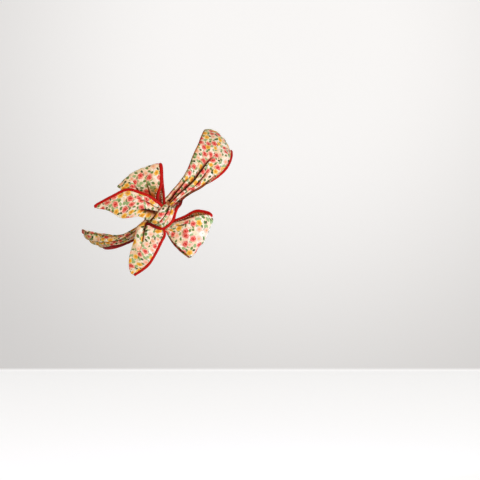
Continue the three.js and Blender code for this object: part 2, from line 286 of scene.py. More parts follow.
# %% Layers and rims
CLOTH, EDGE_SWELL, SWELL_REACH = 0.6, 0.6, 1.6
RIM_POINTS = 3


def cloth_layers(grid):
    """The length across the cloth at each point of a grid, the normals there and half the thickness."""
    steps = np.linalg.norm(np.diff(grid, axis=1), axis=2)
    across = np.concatenate([np.zeros((len(grid), 1)), np.cumsum(steps, axis=1)], axis=1)
    from_edge = np.minimum(across, across[:, -1:] - across)
    half = (CLOTH + EDGE_SWELL * np.exp(-from_edge / SWELL_REACH))[..., None] / 2
    return across, unit(facing_of(grid)), half


def cloth_rings(grid, normal, half):
    """Points round the cloth for each row: its front, one rim, its back and the rim at the piped edge."""
    turns = np.pi * np.arange(1, RIM_POINTS + 1) / (RIM_POINTS + 1)

    def rim(column, inward):
        out = unit(grid[:, column] - grid[:, inward])
        ways = [normal[:, column] * math.cos(turn) + out * math.sin(turn) for turn in turns]
        return [grid[:, column] + half[:, column] * way for way in ways]

    front, back = np.moveaxis(grid + normal * half, 1, 0), np.moveaxis(grid - normal * half, 1, 0)
    return np.stack([*front, *rim(-1, -2), *back[::-1], *rim(0, 1)[::-1]], axis=1)


print("double cloth:", CLOTH, "mm thick, and", CLOTH + EDGE_SWELL, "mm at its edges")

# %% Measures on the flat strip
STRIP_WIDE, PRINT_EVEN = 45, 14


def smoothed(values, reach):
    """The values with each replaced by a soft average of those within about this many places of it."""
    steps = np.arange(-3 * reach, 3 * reach + 1)
    weights = np.exp(-((steps / reach) ** 2) / 2)
    return np.convolve(np.pad(values, 3 * reach, mode="edge"), weights / weights.sum(), "valid")


def strip_measures(points, grid, long, start_along):
    """Where the points lie on the flat strip: across it for every point, and along it for every row."""
    closed = np.concatenate([points, points[:, :1]], axis=1)
    girth = np.cumsum(np.linalg.norm(np.diff(closed, axis=1), axis=2), axis=1)
    u = np.concatenate([np.zeros((len(grid), 1)), girth], axis=1)
    u = STRIP_WIDE / 2 + (u - long[:, None] / 2) * (smoothed(long, PRINT_EVEN) / long)[:, None]
    middle = grid[:, grid.shape[1] // 2]
    steps = np.linalg.norm(np.diff(middle, axis=0), axis=1)
    return u, start_along + np.concatenate([[0], np.cumsum(steps)])


print("flat strip:", STRIP_WIDE, "mm wide")

# %% Closed cloth
def cloth_faces(rows, columns, size):
    """Faces round the cloth and over its two ends, with corners like those of a tube."""
    first_back = columns + RIM_POINTS
    last_back = first_back + columns - 1
    cap = [(j, j + 1, last_back - 1 - j, last_back - j) for j in range(columns - 1)]
    cap += [tuple(range(columns - 1, first_back + 1)), (*range(last_back, size), 0)]
    ends = [[(i, j) for j in face[::way]] for i, way in ((0, 1), (rows - 1, -1)) for face in cap]
    return tube_faces(rows, size) + ends


def cloth_object(name, grid, crease, outer, start_along):
    """A stretch of double cloth round a grid of points, closed, with the flat strip's measures as its UV map.

    outer points out of the folds, a direction for each row, so that the painted shade goes on that side."""
    rows, columns = grid.shape[:2]
    across, normal, half = cloth_layers(grid)
    long = across[:, -1]
    points = cloth_rings(grid, normal, half)
    size = points.shape[1]
    u, v = strip_measures(points, grid, long, start_along)
    corners = cloth_faces(rows, columns, size)
    faces = [[i * size + j % size for i, j in face] for face in corners]
    uvs = [[(u[i, j], v[i]) for i, j in face] for face in corners]
    made = mesh_object(name, points.reshape(-1, 3), faces, uvs)
    # The painted shade of the folds goes on the side of the cloth that faces out of them
    dark = np.zeros((rows, size))
    facing = np.einsum("ijk,ik->i", facing_of(grid), outer) > 0
    first_back = columns + RIM_POINTS
    dark[facing, :columns] = crease[facing]
    dark[~facing, first_back : first_back + columns] = crease[~facing, ::-1]
    keep(made.data, "crease", dark)
    area = sum(p.area for p in made.data.polygons) / 2
    print(f"{name}: {len(faces)} faces, {v[-1] - start_along:.0f} mm long, {long.min():.0f} to "
          f"{long.max():.0f} mm across, {area * 1e4:.1f} cm2 of double cloth")
    return made


print("cloth of 3 rows and 4 columns has", len(cloth_faces(3, 4, 2 * (4 + RIM_POINTS))), "faces")

# %% [markdown]
# ## The band
# The band is the large loop, which goes round from one side of the knot to the other. A curve with a swept
# section could draw it, but its width and its folds change all the way. So it is a table too: the angle round
# the opening, how far the band droops there, its width, the height of its ridges, its crown and the curl of
# its piped edge. Near the knot it is gathered, and three folds run along it, each with a table of its own.

# %% Band sections
BandRow = namedtuple("BandRow", "angle droop width ridge crown curl")
BAND = [
    BandRow(99, 19.5, 7, 0.8, 0, 0.10),
    BandRow(94, 18, 12, 1.2, 0, 0.10),
    BandRow(85, 16, 12.5, 1.5, 0, 0.85),
    BandRow(74, 15, 16, 1.8, 0, 0.95),
    BandRow(63, 13.8, 22.5, 1.8, 0.4, 0.75),
    BandRow(41, 7.5, 33, 1.0, 1.4, 0.02),
    BandRow(8, -3, 32, 0.6, 3.2, 0.05),
    BandRow(-28, 0, 26, 0.8, 2.4, 0.1),
    BandRow(-66, 8.2, 14, 1.0, 0.8, 0.1),
    BandRow(-102, 13, 9.5, 1.0, 0.6, 0.1),
    BandRow(-138, 13, 8.5, 1.0, 1.0, 0.1),
    BandRow(-178, -5.5, 27, 1.2, 3.2, 0.05),
    BandRow(-205, 5.3, 12.5, 1.4, 2.6, 0.05),
    BandRow(-218, 13.6, 8.4, 1.4, 1.2, 0.05),
    BandRow(-236, 18.9, 8, 1.2, 0.4, 0.1),
    BandRow(-252, 20.5, 9, 1.0, 0, 0.1),
    BandRow(-257, 21, 6, 0.8, 0, 0.1),
]
print("band:", len(BAND), "sections from", BAND[0].angle, "to", BAND[-1].angle, "degrees")

# %% Band folds
# A fold's rows: a place along the stretch, and there how far across the fold lies, how deep it is, how far it
# slides under, and how much wider than a shut fold it opens
FoldRow = namedtuple("FoldRow", "place across deep under open", defaults=(0,))


def fold_table(*rows):
    """The table of a fold, with named columns."""
    return [FoldRow(*row) for row in rows]


# The band's folds, with angles as places and measured across from the upper edge
TOP_FOLD = fold_table(
    (99, 0.36, 1.2, -0.4), (94, 0.40, 4.0, -1.5, 0.3), (87, 0.42, 4.8, -1.8, 0.6),
    (79, 0.35, 4.4, -1.6, 0.7), (73, 0.30, 2.4, -0.9, 0.3), (67, 0.27, 0, 0), (-30, 0.25, 0, 0),
    (-66, 0.26, 4.0, -0.6), (-102, 0.26, 5.0, -0.6), (-138, 0.26, 4.0, -0.6), (-165, 0.16, 0.4, -0.1),
    (-200, 0.10, 0.2, -0.1), (-252, 0.10, 0.2, -0.1),
)
MAIN_FOLD = fold_table(
    (99, 0.60, 1.2, -0.4), (94, 0.64, 5.0, -1.6, 0.5), (83, 0.72, 6.4, -2.0, 1.0),
    (72, 0.67, 6.4, -1.8, 1.4), (60, 0.56, 5.6, -1.6, 1.2), (50, 0.53, 4.4, -1.3, 0.8),
    (44, 0.53, 2.4, -0.7, 0.4), (39, 0.54, 0, 0), (-30, 0.50, 0, 0), (-66, 0.52, 4.0, -0.6),
    (-102, 0.51, 5.0, 0.6), (-138, 0.50, 4.0, 0.6), (-160, 0.42, 1.2, 0.4), (-190, 0.38, 1.4, 0.8),
    (-204, 0.36, 2.0, 1.2), (-214, 0.38, 2.2, 1.2), (-224, 0.30, 2.2, 1.0), (-236, 0.24, 2.2, 0.9),
    (-252, 0.32, 2.4, 1.0),
)
LOW_FOLD = fold_table(
    (94, 0.88, 0.6, 0.2), (78, 0.88, 0.6, 0.2), (71, 0.84, 1.0, 0.3), (67, 0.78, 2.2, 0.7, 0.2),
    (63, 0.74, 2.8, 0.8, 0.4), (58, 0.70, 2.4, 0.7, 0.4), (55, 0.69, 1.0, 0.3), (52, 0.69, 0, 0),
    (-30, 0.76, 0, 0), (-66, 0.77, 3.0, 0.6), (-102, 0.76, 4.0, 0.6), (-138, 0.77, 3.0, 0.6),
    (-165, 0.78, 0.6, 0.2), (-215, 0.80, 0.6, 0.2), (-252, 0.76, 1.4, 0.4),
)
BAND_FOLDS = (LOW_FOLD, MAIN_FOLD, TOP_FOLD)
print("rows of the band's folds:", [len(table) for table in BAND_FOLDS])

# %% Round the opening
OPENING_LONG, OPENING_WIDE, SOLID_CLOTH = 154, 108, 1.2
OPENING_RISE, DROOP_DIP = math.radians(39), math.radians(38)
long_way = np.array([math.cos(OPENING_RISE), 0, math.sin(OPENING_RISE)])
bow_side = np.array([0, -1.0, 0])
droop_way = np.array([math.cos(DROOP_DIP), 0, -math.sin(DROOP_DIP)])


def band_point(angle, droop):
    """Points round the opening at these angles, moved along by these droops."""
    turn = np.radians(angle)
    return (
        np.outer(np.cos(turn), long_way) * (OPENING_LONG + SOLID_CLOTH) / 2
        + np.outer(np.sin(turn), bow_side) * (OPENING_WIDE + SOLID_CLOTH) / 2
        + np.outer(droop, droop_way)
    )


def fold_at(table, places):
    """The fold of a table at each of these places."""
    rows = np.array(sorted(table), float)
    return Fold(*(np.interp(places, rows[:, 0], column) for column in rows[:, 1:].T))


def from_piped_edge(fold):
    """A fold of the band, measured from its piped edge and no longer from its upper edge."""
    return fold._replace(across=1 - fold.across, under=-fold.under)


print("opening:", OPENING_LONG, "by", OPENING_WIDE, "mm")

# %% Band grid
BAND_ROWS, BAND_SEED = 480, 70
LEAST_BAND_RIDGE = 0.3
BAND_PUFF = [(-66, 0), (-20, 2.0), (10, 2.4), (41, 0)]
TOP_SHADE, TOP_SHADE_WIDE = 0.35, 0.9
CURL_SHADE, SHADED_CURL = 0.6, CURL_COLUMNS + 2

angle, droop, width, ridge, crown, curl = track(BAND, np.linspace(0, 1, BAND_ROWS + 1)).T
ridge, curl = np.maximum(ridge, LEAST_BAND_RIDGE), np.maximum(curl, 0)
middle = band_point(angle, droop)
run = unit(np.gradient(middle, axis=0))
to_piping = unit(droop_way - run * (run @ droop_way)[:, None])
outward = np.cross(to_piping, run)
band_seam = middle + to_piping * (width / 2 + PIPING / 2)[:, None]
band_folds = [from_piped_edge(fold_at(table, angle)) for table in BAND_FOLDS]
band_grid, band_piping, band_creases = cloth_grid(
    band_seam, -to_piping, outward, width + PIPING / 2, ridge, crown, curl, band_folds
)
share = np.linspace(0, 1, band_grid.shape[1])
puff = between(BAND_PUFF, angle)[:, None] * np.sin(np.pi * share**2)
band_grid = crumpled(band_grid + outward[:, None] * puff[..., None], BAND_SEED)
# Painted shade along the folded upper edge, and on the curl at the piped edge
band_across = cloth_layers(band_grid)[0]
from_top = band_across[:, -1:] - band_across
band_creases = np.maximum(band_creases, TOP_SHADE * np.exp(-((from_top / TOP_SHADE_WIDE) ** 2)))
curl_shade = CURL_SHADE * np.clip(curl, 0, 1)[:, None]
band_creases[:, :SHADED_CURL] = np.maximum(band_creases[:, :SHADED_CURL], curl_shade)
print("band:", band_grid.shape, "points")

# %% [markdown]
# ## The bow's loops and tails
# A loop is the strip going out from the knot and coming back, and a tail is an end of it, cut to a point.
# Bent planes could give their outlines, but not the gathers at the knot, so every one is a table too. A row
# has the middle of the piping and the folded edge, as right, front and up from the middle of the knot, then
# the height of the ridges, the crown towards the front, the bulge outwards, the curl of the piped edge, and a
# shade for places that little light reaches. A loop runs from the knot along its back layer, round its tip
# and back along its front layer. Each has its own folds, which start deep at the knot and fade out.

# %% Loops
BowRow = namedtuple("BowRow", "piped plain ridge crown bulge curl shade", defaults=(0,))
LOOP_UPPER = [
    BowRow((2, -2, 6), (-7, -3, 2), 1.4, 0, 0, 0, 0.6),
    BowRow((1.5, -4, 16.5), (-18, -5, 8.5), 1.6, 0, 0, 0, 0.52),
    BowRow((0, -4, 31.5), (-32, -6, 17), 0.5, 0, 2, 0, 0.4),
    BowRow((-0.5, -2.5, 44), (-40, -6, 24), 0.2, 0, 4, 0, 0.1),
    BowRow((-1.5, 0.5, 47), (-42, -3, 25.5), 0.2, 0, 5, 0),
    BowRow((-1, 3.5, 43.5), (-40, 0, 24.5), 0.2, 1, 4, 0),
    BowRow((-0.5, 6, 28.5), (-33, 1, 17), 0.6, 2, 2, 0, 0.06),
    BowRow((-4, 5, 16.5), (-19, 1, 8.5), 1.6, 1, 0, 0, 0.55),
    BowRow((-2, 3, 7.5), (-9.5, 1, 1), 1.6, 0, 0, 0, 0.8),
]
LOOP_RIGHT = [
    BowRow((6, -3, -9), (2.5, -4, -14), 0.8, 0, 0, 0, 0.6),
    BowRow((21, -4, -3), (8.8, -4, -26), 1.4, 0, 0, 0, 0.45),
    BowRow((32, -2, 2.5), (16, -4, -34.6), 0.5, 0, 2, 0, 0.35),
    BowRow((43.5, 2, 1), (23.4, -2, -40.4), 0.2, 0, 4, 0, 0.2),
    BowRow((47, 5, -2), (26.5, 1, -41.5), 0.2, 0, 5, 0.1),
    BowRow((43.5, 8, -0.5), (25.6, 4, -39.6), 0.2, 1, 4, 0.55),
    BowRow((33, 9, -1.5), (18, 5, -32.9), 0.5, 2, 2, 0.95),
    BowRow((22, 6, -5.5), (10.3, 3, -25), 1.0, 1, 0, 0.95),
    BowRow((7, 1, -9), (2.6, 1, -15), 0.6, 0, 0, 0.6),
]
print("sections of the loops:", len(LOOP_UPPER), "and", len(LOOP_RIGHT))

# %% Tails
TAIL_LEFT = [
    BowRow((2, 5, 6), (-12, 3, -6), 1.6, 0, 0, 0),
    BowRow((-9.5, 9, 15), (-21, 6, -2.5), 1.6, 0, 0, 0),
    BowRow((-21, 10, 20), (-30.5, 6, -3.5), 0.8, 1.0, 0, 0),
    BowRow((-33, 8, 22.5), (-39, 4, -3.5), 0.4, 1.6, 0, 0),
    BowRow((-47.5, 5, 16), (-49.5, 2, 3), 0.2, 1, 0, 0),
    BowRow((-61, 0, 9), (-62, -0.5, 5.5), 0, 0, 0, 0),
]
TAIL_LOWER = [
    BowRow((-1, 1, -6), (-12, 1, -3), 1.2, 0, 0, 0),
    BowRow((2.5, 1, -19), (-23, 2, -13.5), 1.8, 0.5, 0, 0),
    BowRow((-0.5, 3, -26.5), (-26, 2, -25.5), 1.0, 1.5, 0, 0),
    BowRow((-6.5, 2, -38.5), (-30, 0, -38), 0.4, 2.2, 0, 0),
    BowRow((-14, 0, -49.5), (-31, -2, -49.5), 0.1, 1.5, 0, 0),
    BowRow((-26.5, -4, -58.3), (-29.2, -4, -56.8), 0, 0, 0, 0),
]
print("sections of the tails:", len(TAIL_LEFT), "and", len(TAIL_LOWER))

# %% Folds of the bow
# Row numbers of the tables above are the places here, and folds are measured across from the piped edge
LOOP_UPPER_FOLDS = [
    fold_table(
        (0, 0.30, 2.0, 0.5), (1, 0.30, 1.8, 0.6), (2, 0.30, 0.4, 0.1), (3, 0.32, 0, 0), (5.3, 0.34, 0, 0),
        (5.8, 0.32, 1.4, 0.5), (6.3, 0.29, 4.0, 1.4, 0.4), (7, 0.27, 5.0, 1.8, 0.6), (8, 0.28, 3.0, 1.0),
    ),
    fold_table(
        (0, 0.62, 2.0, 0.5), (1, 0.62, 1.6, 0.5), (2, 0.64, 0.3, 0.1), (3, 0.66, 0, 0), (5.2, 0.66, 0, 0),
        (5.7, 0.64, 1.4, 0.6), (6.2, 0.60, 4.0, 1.6, 0.5), (7, 0.56, 5.0, 1.8, 0.5), (8, 0.58, 3.2, 1.2),
    ),
]
LOOP_RIGHT_FOLDS = [
    fold_table(
        (0, 0.32, 1.0, 0.3), (1, 0.32, 1.6, 0.5), (2, 0.32, 0.3, 0.1), (3, 0.32, 0, 0), (6.6, 0.09, 0, 0),
        (6.8, 0.09, 2.0, 0.7, 0.2), (6.95, 0.10, 4.0, 1.2, 0.5), (7.15, 0.11, 3.4, 1.0, 0.4),
        (7.4, 0.13, 0.8, 0.3), (8, 0.22, 0.6, 0.2),
    ),
    fold_table(
        (0, 0.66, 1.0, 0.3), (1, 0.66, 1.4, 0.5), (2, 0.66, 0.2, 0.1), (3, 0.66, 0, 0), (7.2, 0.62, 0, 0),
        (8, 0.62, 1.6, 0.6),
    ),
]
TAIL_LEFT_FOLDS = [
    fold_table(
        (0, 0.16, 1.2, 0.5), (1, 0.17, 2.0, 0.8), (1.6, 0.19, 1.2, 0.5), (2, 0.20, 0.4, 0.2),
        (3, 0.22, 0, 0), (5, 0.22, 0, 0),
    ),
    fold_table(
        (0, 0.32, 7.0, 0.5, 1.6), (0.3, 0.40, 8.0, 0.6, 2.2), (0.7, 0.50, 7.5, 0.6, 2.2),
        (1.0, 0.56, 3.6, 0.6, 1.2), (1.3, 0.62, 1.0, 0.3, 0.4), (1.8, 0.68, 0, 0), (5, 0.70, 0, 0),
    ),
]
TAIL_LOWER_FOLDS = [
    fold_table((0, 0.30, 0.8, 0.2), (1, 0.34, 0.8, 0.2), (2, 0.36, 0, 0), (5, 0.36, 0, 0)),
    fold_table(
        (0, 0.74, 4.0, 1.4, 0.8), (0.5, 0.76, 4.6, 1.8, 0.9), (1, 0.69, 4.2, 1.8, 0.5),
        (1.8, 0.66, 2.4, 1.0), (2.4, 0.64, 0.8, 0.4), (3.4, 0.62, 0, 0), (5, 0.62, 0, 0),
    ),
]
STRETCHES = {
    "loop_upper": (LOOP_UPPER, LOOP_UPPER_FOLDS),
    "loop_right": (LOOP_RIGHT, LOOP_RIGHT_FOLDS),
    "tail_left": (TAIL_LEFT, TAIL_LEFT_FOLDS),
    "tail_lower": (TAIL_LOWER, TAIL_LOWER_FOLDS),
}
print("folds:", {name: len(fold_tables) for name, (_, fold_tables) in STRETCHES.items()})

# %% [markdown]
# ## From the bow's tables to grids
# Loops and tails are stretches of the same strip, so they differ only in their tables. Each could have code
# of its own, but one function serves them all: it follows the two edges, finds which way the cloth faces,
# lays in the folds, and lets the middle bulge outwards, as cotton does that is stiff enough for a bow.

# %% Bow grids
KNOT_ANGLE, KNOT_DROOP, KNOT_LIFT = 100.5, 21, 8
ROW_PITCH, BOW_SEED_STEP = 0.62, 10
EDGE_LIGHT, EDGE_LIGHT_POWER = 0.8, 4
knot_middle = band_point(np.array([KNOT_ANGLE]), np.array([KNOT_DROOP]))[0] + bow_side * KNOT_LIFT


def bow_point(places):
    """Points in the frame, from places that are right, front and up from the middle of the knot."""
    right, front, up = np.asarray(places, float).T
    return knot_middle + np.stack([right, -front, up], axis=-1)


def bow_stretch(table, fold_tables, seed):
    """The grid of a loop or tail, the line of its piping and its painted shade."""
    piped_rows = bow_point([row.piped for row in table])
    plain_rows = bow_point([row.plain for row in table])
    middles = (piped_rows + plain_rows) / 2
    reach = np.linalg.norm(np.diff(middles, axis=0), axis=1).sum()
    places = np.linspace(0, 1, int(reach / ROW_PITCH) + 1)
    piped, plain = track(piped_rows, places), track(plain_rows, places)
    forms = [(row.ridge, row.crown, row.bulge, row.curl, row.shade) for row in table]
    ridge, crown, bulge, curl, shade = np.maximum(track(forms, places).T, 0)
    tip = middles[np.argmax(np.linalg.norm(middles - knot_middle, axis=1))]
    outwards = unit((tip - knot_middle) * np.array([1, 0, 1]))
    wide = plain - piped
    length = np.linalg.norm(wide, axis=1)
    wide = wide / length[:, None]
    front = unit(bow_side - wide * (wide @ bow_side)[:, None])
    folds = [fold_at(fold_rows, places * (len(table) - 1)) for fold_rows in fold_tables]
    grid, piping_line, creases = cloth_grid(piped, wide, front, length, ridge, crown, curl, folds)
    share = np.linspace(0, 1, grid.shape[1])
    grid = grid + outwards * (bulge[:, None] * 4 * share * (1 - share))[..., None]
    # The table's painted shade, lighter towards the plain edge
    shades = shade[:, None] * (1 - EDGE_LIGHT * share**EDGE_LIGHT_POWER)
    return crumpled(grid, seed), piping_line, np.maximum(creases, shades)


grids, piping_lines, creases = {}, {}, {}
for number, (name, (table, fold_tables)) in enumerate(STRETCHES.items()):
    stretch = bow_stretch(table, fold_tables, BOW_SEED_STEP * number)
    grids[name], piping_lines[name], creases[name] = stretch
    print(name, grids[name].shape, "points")
print("knot's middle:", np.round(knot_middle, 1))

# %% [markdown]
# ## The wrap of the knot
# One turn of the strip goes over the front of the knot, pulled tight into pleats. A ridged block could stand
# for it, but the wrap is short enough to be a table like the loops, and then its pleats are real cloth. Where
# the stretches go into the knot little light reaches them, so most of those ends also get a soft shade, kept
# on their points, which is quicker than lighting such narrow gaps well. Then all six grids become cloth.

# %% Knot
KNOT_SEED = 50
KNOT_SHADE, SHADE_REACH = 0.3, 4.0
KNOT_ENDS = {"neck_band": (0, -1), "loop_upper": (0, -1), "loop_right": (0,), "tail_lower": (0,)}
WRAP = [
    BowRow((13.6, -8, 8), (4, -8, 9.6), 1.0, 0.5, 0, 0, 0.3),
    BowRow((13, 2, 5), (1.8, 4, 7.4), 1.6, 0.8, 0, 0),
    BowRow((12.4, 6, 0.6), (-0.8, 9, 3.6), 2.0, 1.0, 0, 0),
    BowRow((10.8, 7.6, -5), (-4, 10, -0.6), 2.0, 1.0, 0, 0),
    BowRow((7.2, 7.6, -9.6), (-7, 8.5, -4.6), 1.8, 0.8, 0, 0),
    BowRow((2.2, 5.5, -13), (-9.7, 5, -8.2), 1.4, 0.6, 0, 0),
    BowRow((-2, -1, -12.5), (-9.5, -2, -8), 0.6, 0.3, 0, 0, 0.7),
]
WRAP_FOLDS = [
    fold_table((0, 0.22, 1.8, 0.6), (2, 0.22, 1.6, 0.6), (4, 0.24, 1.0, 0.5), (6, 0.30, 1.0, 0.4)),
    fold_table(
        (0, 0.48, 3.0, 1.0, 0.2), (2, 0.47, 2.8, 1.0, 0.1), (3, 0.48, 1.8, 0.8), (4.5, 0.50, 1.2, 0.6),
        (6, 0.52, 1.2, 0.5),
    ),
]
grids["knot"], _, creases["knot"] = bow_stretch(WRAP, WRAP_FOLDS, KNOT_SEED)
grids["neck_band"], piping_lines["neck_band"], creases["neck_band"] = band_grid, band_piping, band_creases
# Painted shade at the ends that go into the knot
for name, ends in KNOT_ENDS.items():
    middle = grids[name][:, grids[name].shape[1] // 2]
    for end in ends:
        from_knot = np.linalg.norm(middle - middle[end], axis=1)
        shade = KNOT_SHADE * np.exp(-((from_knot / SHADE_REACH) ** 2))
        creases[name] = np.maximum(creases[name], shade[:, None])
print("knot:", grids["knot"].shape, "points")

# %% Cloth of the six stretches
# Where each stretch starts along the flat strip, so that no two show the same part of the print
STRIP_STARTS = {
    "neck_band": 0,
    "loop_upper": 437,
    "loop_right": 533,
    "tail_left": 641,
    "tail_lower": 717,
    "knot": 826,
}
cloth = {}
for name, start in STRIP_STARTS.items():
    outer = outward if name == "neck_band" else np.broadcast_to(bow_side, grids[name][:, 0].shape)
    cloth[name] = cloth_object(name + "_cloth", grids[name], creases[name], outer, start)

# %% [markdown]
# ## Inside the knot
# Under the wrap the two ends cross, which fills the knot with bunched cloth. It could be modelled turn by
# turn, but only slivers of it show between the wrap and the roots of the loops. So three plump pleated
# bundles are enough, each a sphere stretched along its own axis. The third lies behind and closes the back.

# %% Bundles
Bundle = namedtuple("Bundle", "middle slope long wide deep ridges")
BUNDLES = [
    Bundle((-0.6, -1.5, -2), 51, 17, 16, 15, 7),
    Bundle((-11, -3, -1), 90, 15, 13, 11, 5),
    Bundle((-1.9, -7.6, 0.7), 46.6, 29, 15, 7, 6),
]
BUNDLE_ROWS, BUNDLE_SIDES = 40, 80
BUNDLE_RIDGE, BUNDLE_END = 0.10, 0.02


def bundle_points(bundle):
    """Rings of points of a pleated bundle, from one end of its axis to the other."""
    slope = math.radians(bundle.slope)
    axis = np.array([math.cos(slope), 0, math.sin(slope)])
    side = np.array([math.sin(slope), 0, -math.cos(slope)])
    fall = np.linspace(BUNDLE_END, math.pi - BUNDLE_END, BUNDLE_ROWS)[:, None]
    turn = np.linspace(0, 2 * math.pi, BUNDLE_SIDES, endpoint=False)[None, :]
    pleat = 1 - BUNDLE_RIDGE * (1 - np.abs(np.sin(bundle.ridges * turn / 2 + fall)))
    reach = np.sin(fall) * pleat
    rings = (
        axis * (bundle.long / 2 * np.cos(fall) + 0 * turn)[..., None]
        + side * (bundle.wide / 2 * reach * np.sin(turn))[..., None]
        + bow_side * (bundle.deep / 2 * reach * np.cos(turn))[..., None]
    )
    return bow_point([bundle.middle])[0] + rings


print("bundles:", [f"{bundle.long} by {bundle.wide} by {bundle.deep} mm" for bundle in BUNDLES])

# %% Knot core
CORE_SHADE = 0.3
points, faces, uvs = [], [], []
for number, bundle in enumerate(BUNDLES):
    first = number * BUNDLE_ROWS * BUNDLE_SIDES
    points.append(bundle_points(bundle).reshape(-1, 3))
    across, along = bundle.wide * math.pi / BUNDLE_SIDES, bundle.long / BUNDLE_ROWS
    for face in tube_faces(BUNDLE_ROWS, BUNDLE_SIDES):
        faces.append([first + i * BUNDLE_SIDES + j % BUNDLE_SIDES for i, j in face])
        uvs.append([(across * j, along * i) for i, j in face])
    for i, way in ((0, 1), (BUNDLE_ROWS - 1, -1)):
        faces.append([first + i * BUNDLE_SIDES + j for j in range(BUNDLE_SIDES)][::way])
        uvs.append([(0, along * i)] * BUNDLE_SIDES)
knot_core = mesh_object("knot_core", np.vstack(points), faces, uvs)
# Painted shade all over the core, which lies deep inside the knot
keep(knot_core.data, "crease", np.full(len(knot_core.data.vertices), CORE_SHADE))
print("knot core:", len(faces), "faces")

# %% [markdown]
# ## A small language for nodes
# A finish is a tree of nodes. It could be wired by hand in the editor, but a script of single links reads
# badly. Two small classes make it read like sums: a value wraps a socket, and Python's operators on it add
# Math nodes, while a tree has one method that makes any other node from its type, its settings and what goes
# into its sockets. The same classes build the finishes and the Geometry Nodes below.

# %% Values in a node tree
class Value:
    """A number in a node tree: Python's operators on it add Math nodes."""

    def __init__(self, tree, socket):
        self.tree, self.socket = tree, socket

    def __add__(self, other):
        return self.tree.maths("ADD", self, other)

    __radd__ = __add__

    def __sub__(self, other):
        return self.tree.maths("SUBTRACT", self, other)

    def __rsub__(self, other):
        return self.tree.maths("SUBTRACT", other, self)

    def __mul__(self, other):
        return self.tree.maths("MULTIPLY", self, other)

    __rmul__ = __mul__

    def __truediv__(self, other):
        return self.tree.maths("DIVIDE", self, other)

    def __rtruediv__(self, other):
        return self.tree.maths("DIVIDE", other, self)

    def __lt__(self, other):
        return self.tree.maths("LESS_THAN", self, other)

    def __gt__(self, other):
        return self.tree.maths("GREATER_THAN", self, other)

    def __abs__(self):
        return self.tree.maths("ABSOLUTE", self)


print("a value in a node tree can be added, taken away, multiplied, divided and compared")

# %% Node trees
# A Mix node has sockets of the same names for numbers, vectors and colours, so the ones for colours are asked
# for by their number
MIX_FIRST, MIX_SECOND, MIX_RESULT = 6, 7, 2


class Tree:
    """A node tree and the methods that add to it."""

    def __init__(self, group):
        self.nodes, self.links = group.nodes, group.links

    def node(self, kind, settings=None, sockets=None):
        """A new node. settings are set first, then sockets by name or number, with a value or a link each."""
        made = self.nodes.new(kind)
        for key, value in (settings or {}).items():
            setattr(made, key, value)
        self.feed(made, sockets or {})
        return made

    def feed(self, node, sockets):
        """Links or sets sockets of a node. None leaves a socket as it is."""
        for key, value in sockets.items():
            value = value.socket if isinstance(value, Value) else value
            if isinstance(value, bpy.types.NodeSocket):
                self.links.new(value, node.inputs[key])
            elif value is not None:
                node.inputs[key].default_value = value

    def maths(self, operation, *values):
        made = self.node("ShaderNodeMath", {"operation": operation}, dict(enumerate(values)))
        return Value(self, made.outputs[0])

    def step(self, value, low, high):
        """0 below low and 1 above high, with a smooth step between; high may be the lower one."""
        sockets = {"Value": value, "From Min": low, "From Max": high}
        made = self.node("ShaderNodeMapRange", {"interpolation_type": "SMOOTHSTEP"}, sockets)
        return Value(self, made.outputs[0])

    def noise(self, place, scale, detail, dimensions="3D"):
        """Soft random values round a half. With None as place, Geometry Nodes take the piece's own points."""
        sockets = {"Vector": place, "Scale": scale, "Detail": detail}
        made = self.node("ShaderNodeTexNoise", {"noise_dimensions": dimensions}, sockets)
        return Value(self, made.outputs[0])

    def mix(self, share, first, second, blend="MIX"):
        """A colour between two colours, or another blend of them."""
        settings = {"data_type": "RGBA", "blend_type": blend}
        sockets = {0: share, MIX_FIRST: first, MIX_SECOND: second}
        return self.node("ShaderNodeMix", settings, sockets).outputs[MIX_RESULT]

    def vector(self, operation, *values, **sockets):
        sockets = {**dict(enumerate(values)), **sockets}
        return self.node("ShaderNodeVectorMath", {"operation": operation}, sockets).outputs[0]

    def parts(self, vector):
        """The three numbers of a vector."""
        made = self.node("ShaderNodeSeparateXYZ", None, {0: vector})
        return [Value(self, socket) for socket in made.outputs]


print("a tree has methods for maths, steps, noise, mixes, vectors and any other node")

# %% [markdown]
# ## The floral print
# A ditsy print is a scatter of small blossoms that never quite repeats. A painted picture could be wrapped
# round the cloth, but it would blur close by. A Voronoi texture is a good scatter: each of its cells has one
# point, and the place of a pixel from that point, as an angle and a distance, is enough to draw a blossom
# there. A random number for each cell picks a coral rose, a yellow blossom or a pale pink one, and turns it.
# Finer scatters under it draw pointed leaves and small buds. Sizes are in millimetres on the flat strip.

# %% Ground, buds and leaves
def paint(red, green, blue):
    """A colour for a socket from the 0 to 255 that a paint chart gives."""
    light = [c / 255 for c in (red, green, blue)]
    return tuple(c / 12.92 if c <= 0.04045 else ((c + 0.055) / 1.055) ** 2.4 for c in light) + (1.0,)


FULL_TURN = 2 * math.pi
GROUND, GROUND_WARM = paint(253, 248, 234), paint(250, 224, 186)
WASH_SCALE, WASH_DETAIL, WASH_STEP = 0.16, 2.0, (0.38, 0.62)
BUD_PITCH, BUD_SCATTER, BUD_RADIUS, BUD_CORE = 2.3, 0.8, 0.75, 0.6
BUDS_BELOW, GREEN_BUDS_BELOW = 0.7, 0.5
BUD_ROSE, BUD_GREEN = paint(250, 196, 176), paint(196, 212, 176)
LEAF_PITCH, LEAF_SCATTER = 3.7, 0.75
LEAF_LONG, LEAF_WIDE, LEAF_EDGE = 2.2, 1.5, (1.0, 0.82)
LEAST_LEAF, LEAF_SPREAD = 0.75, 0.4
LEAVES_BELOW, DARK_LEAVES_BELOW, PALE_LEAVES_ABOVE = 0.82, 0.20, 0.62
SAGE, BOTTLE, MINT = paint(98, 136, 68), paint(52, 78, 26), paint(154, 186, 126)


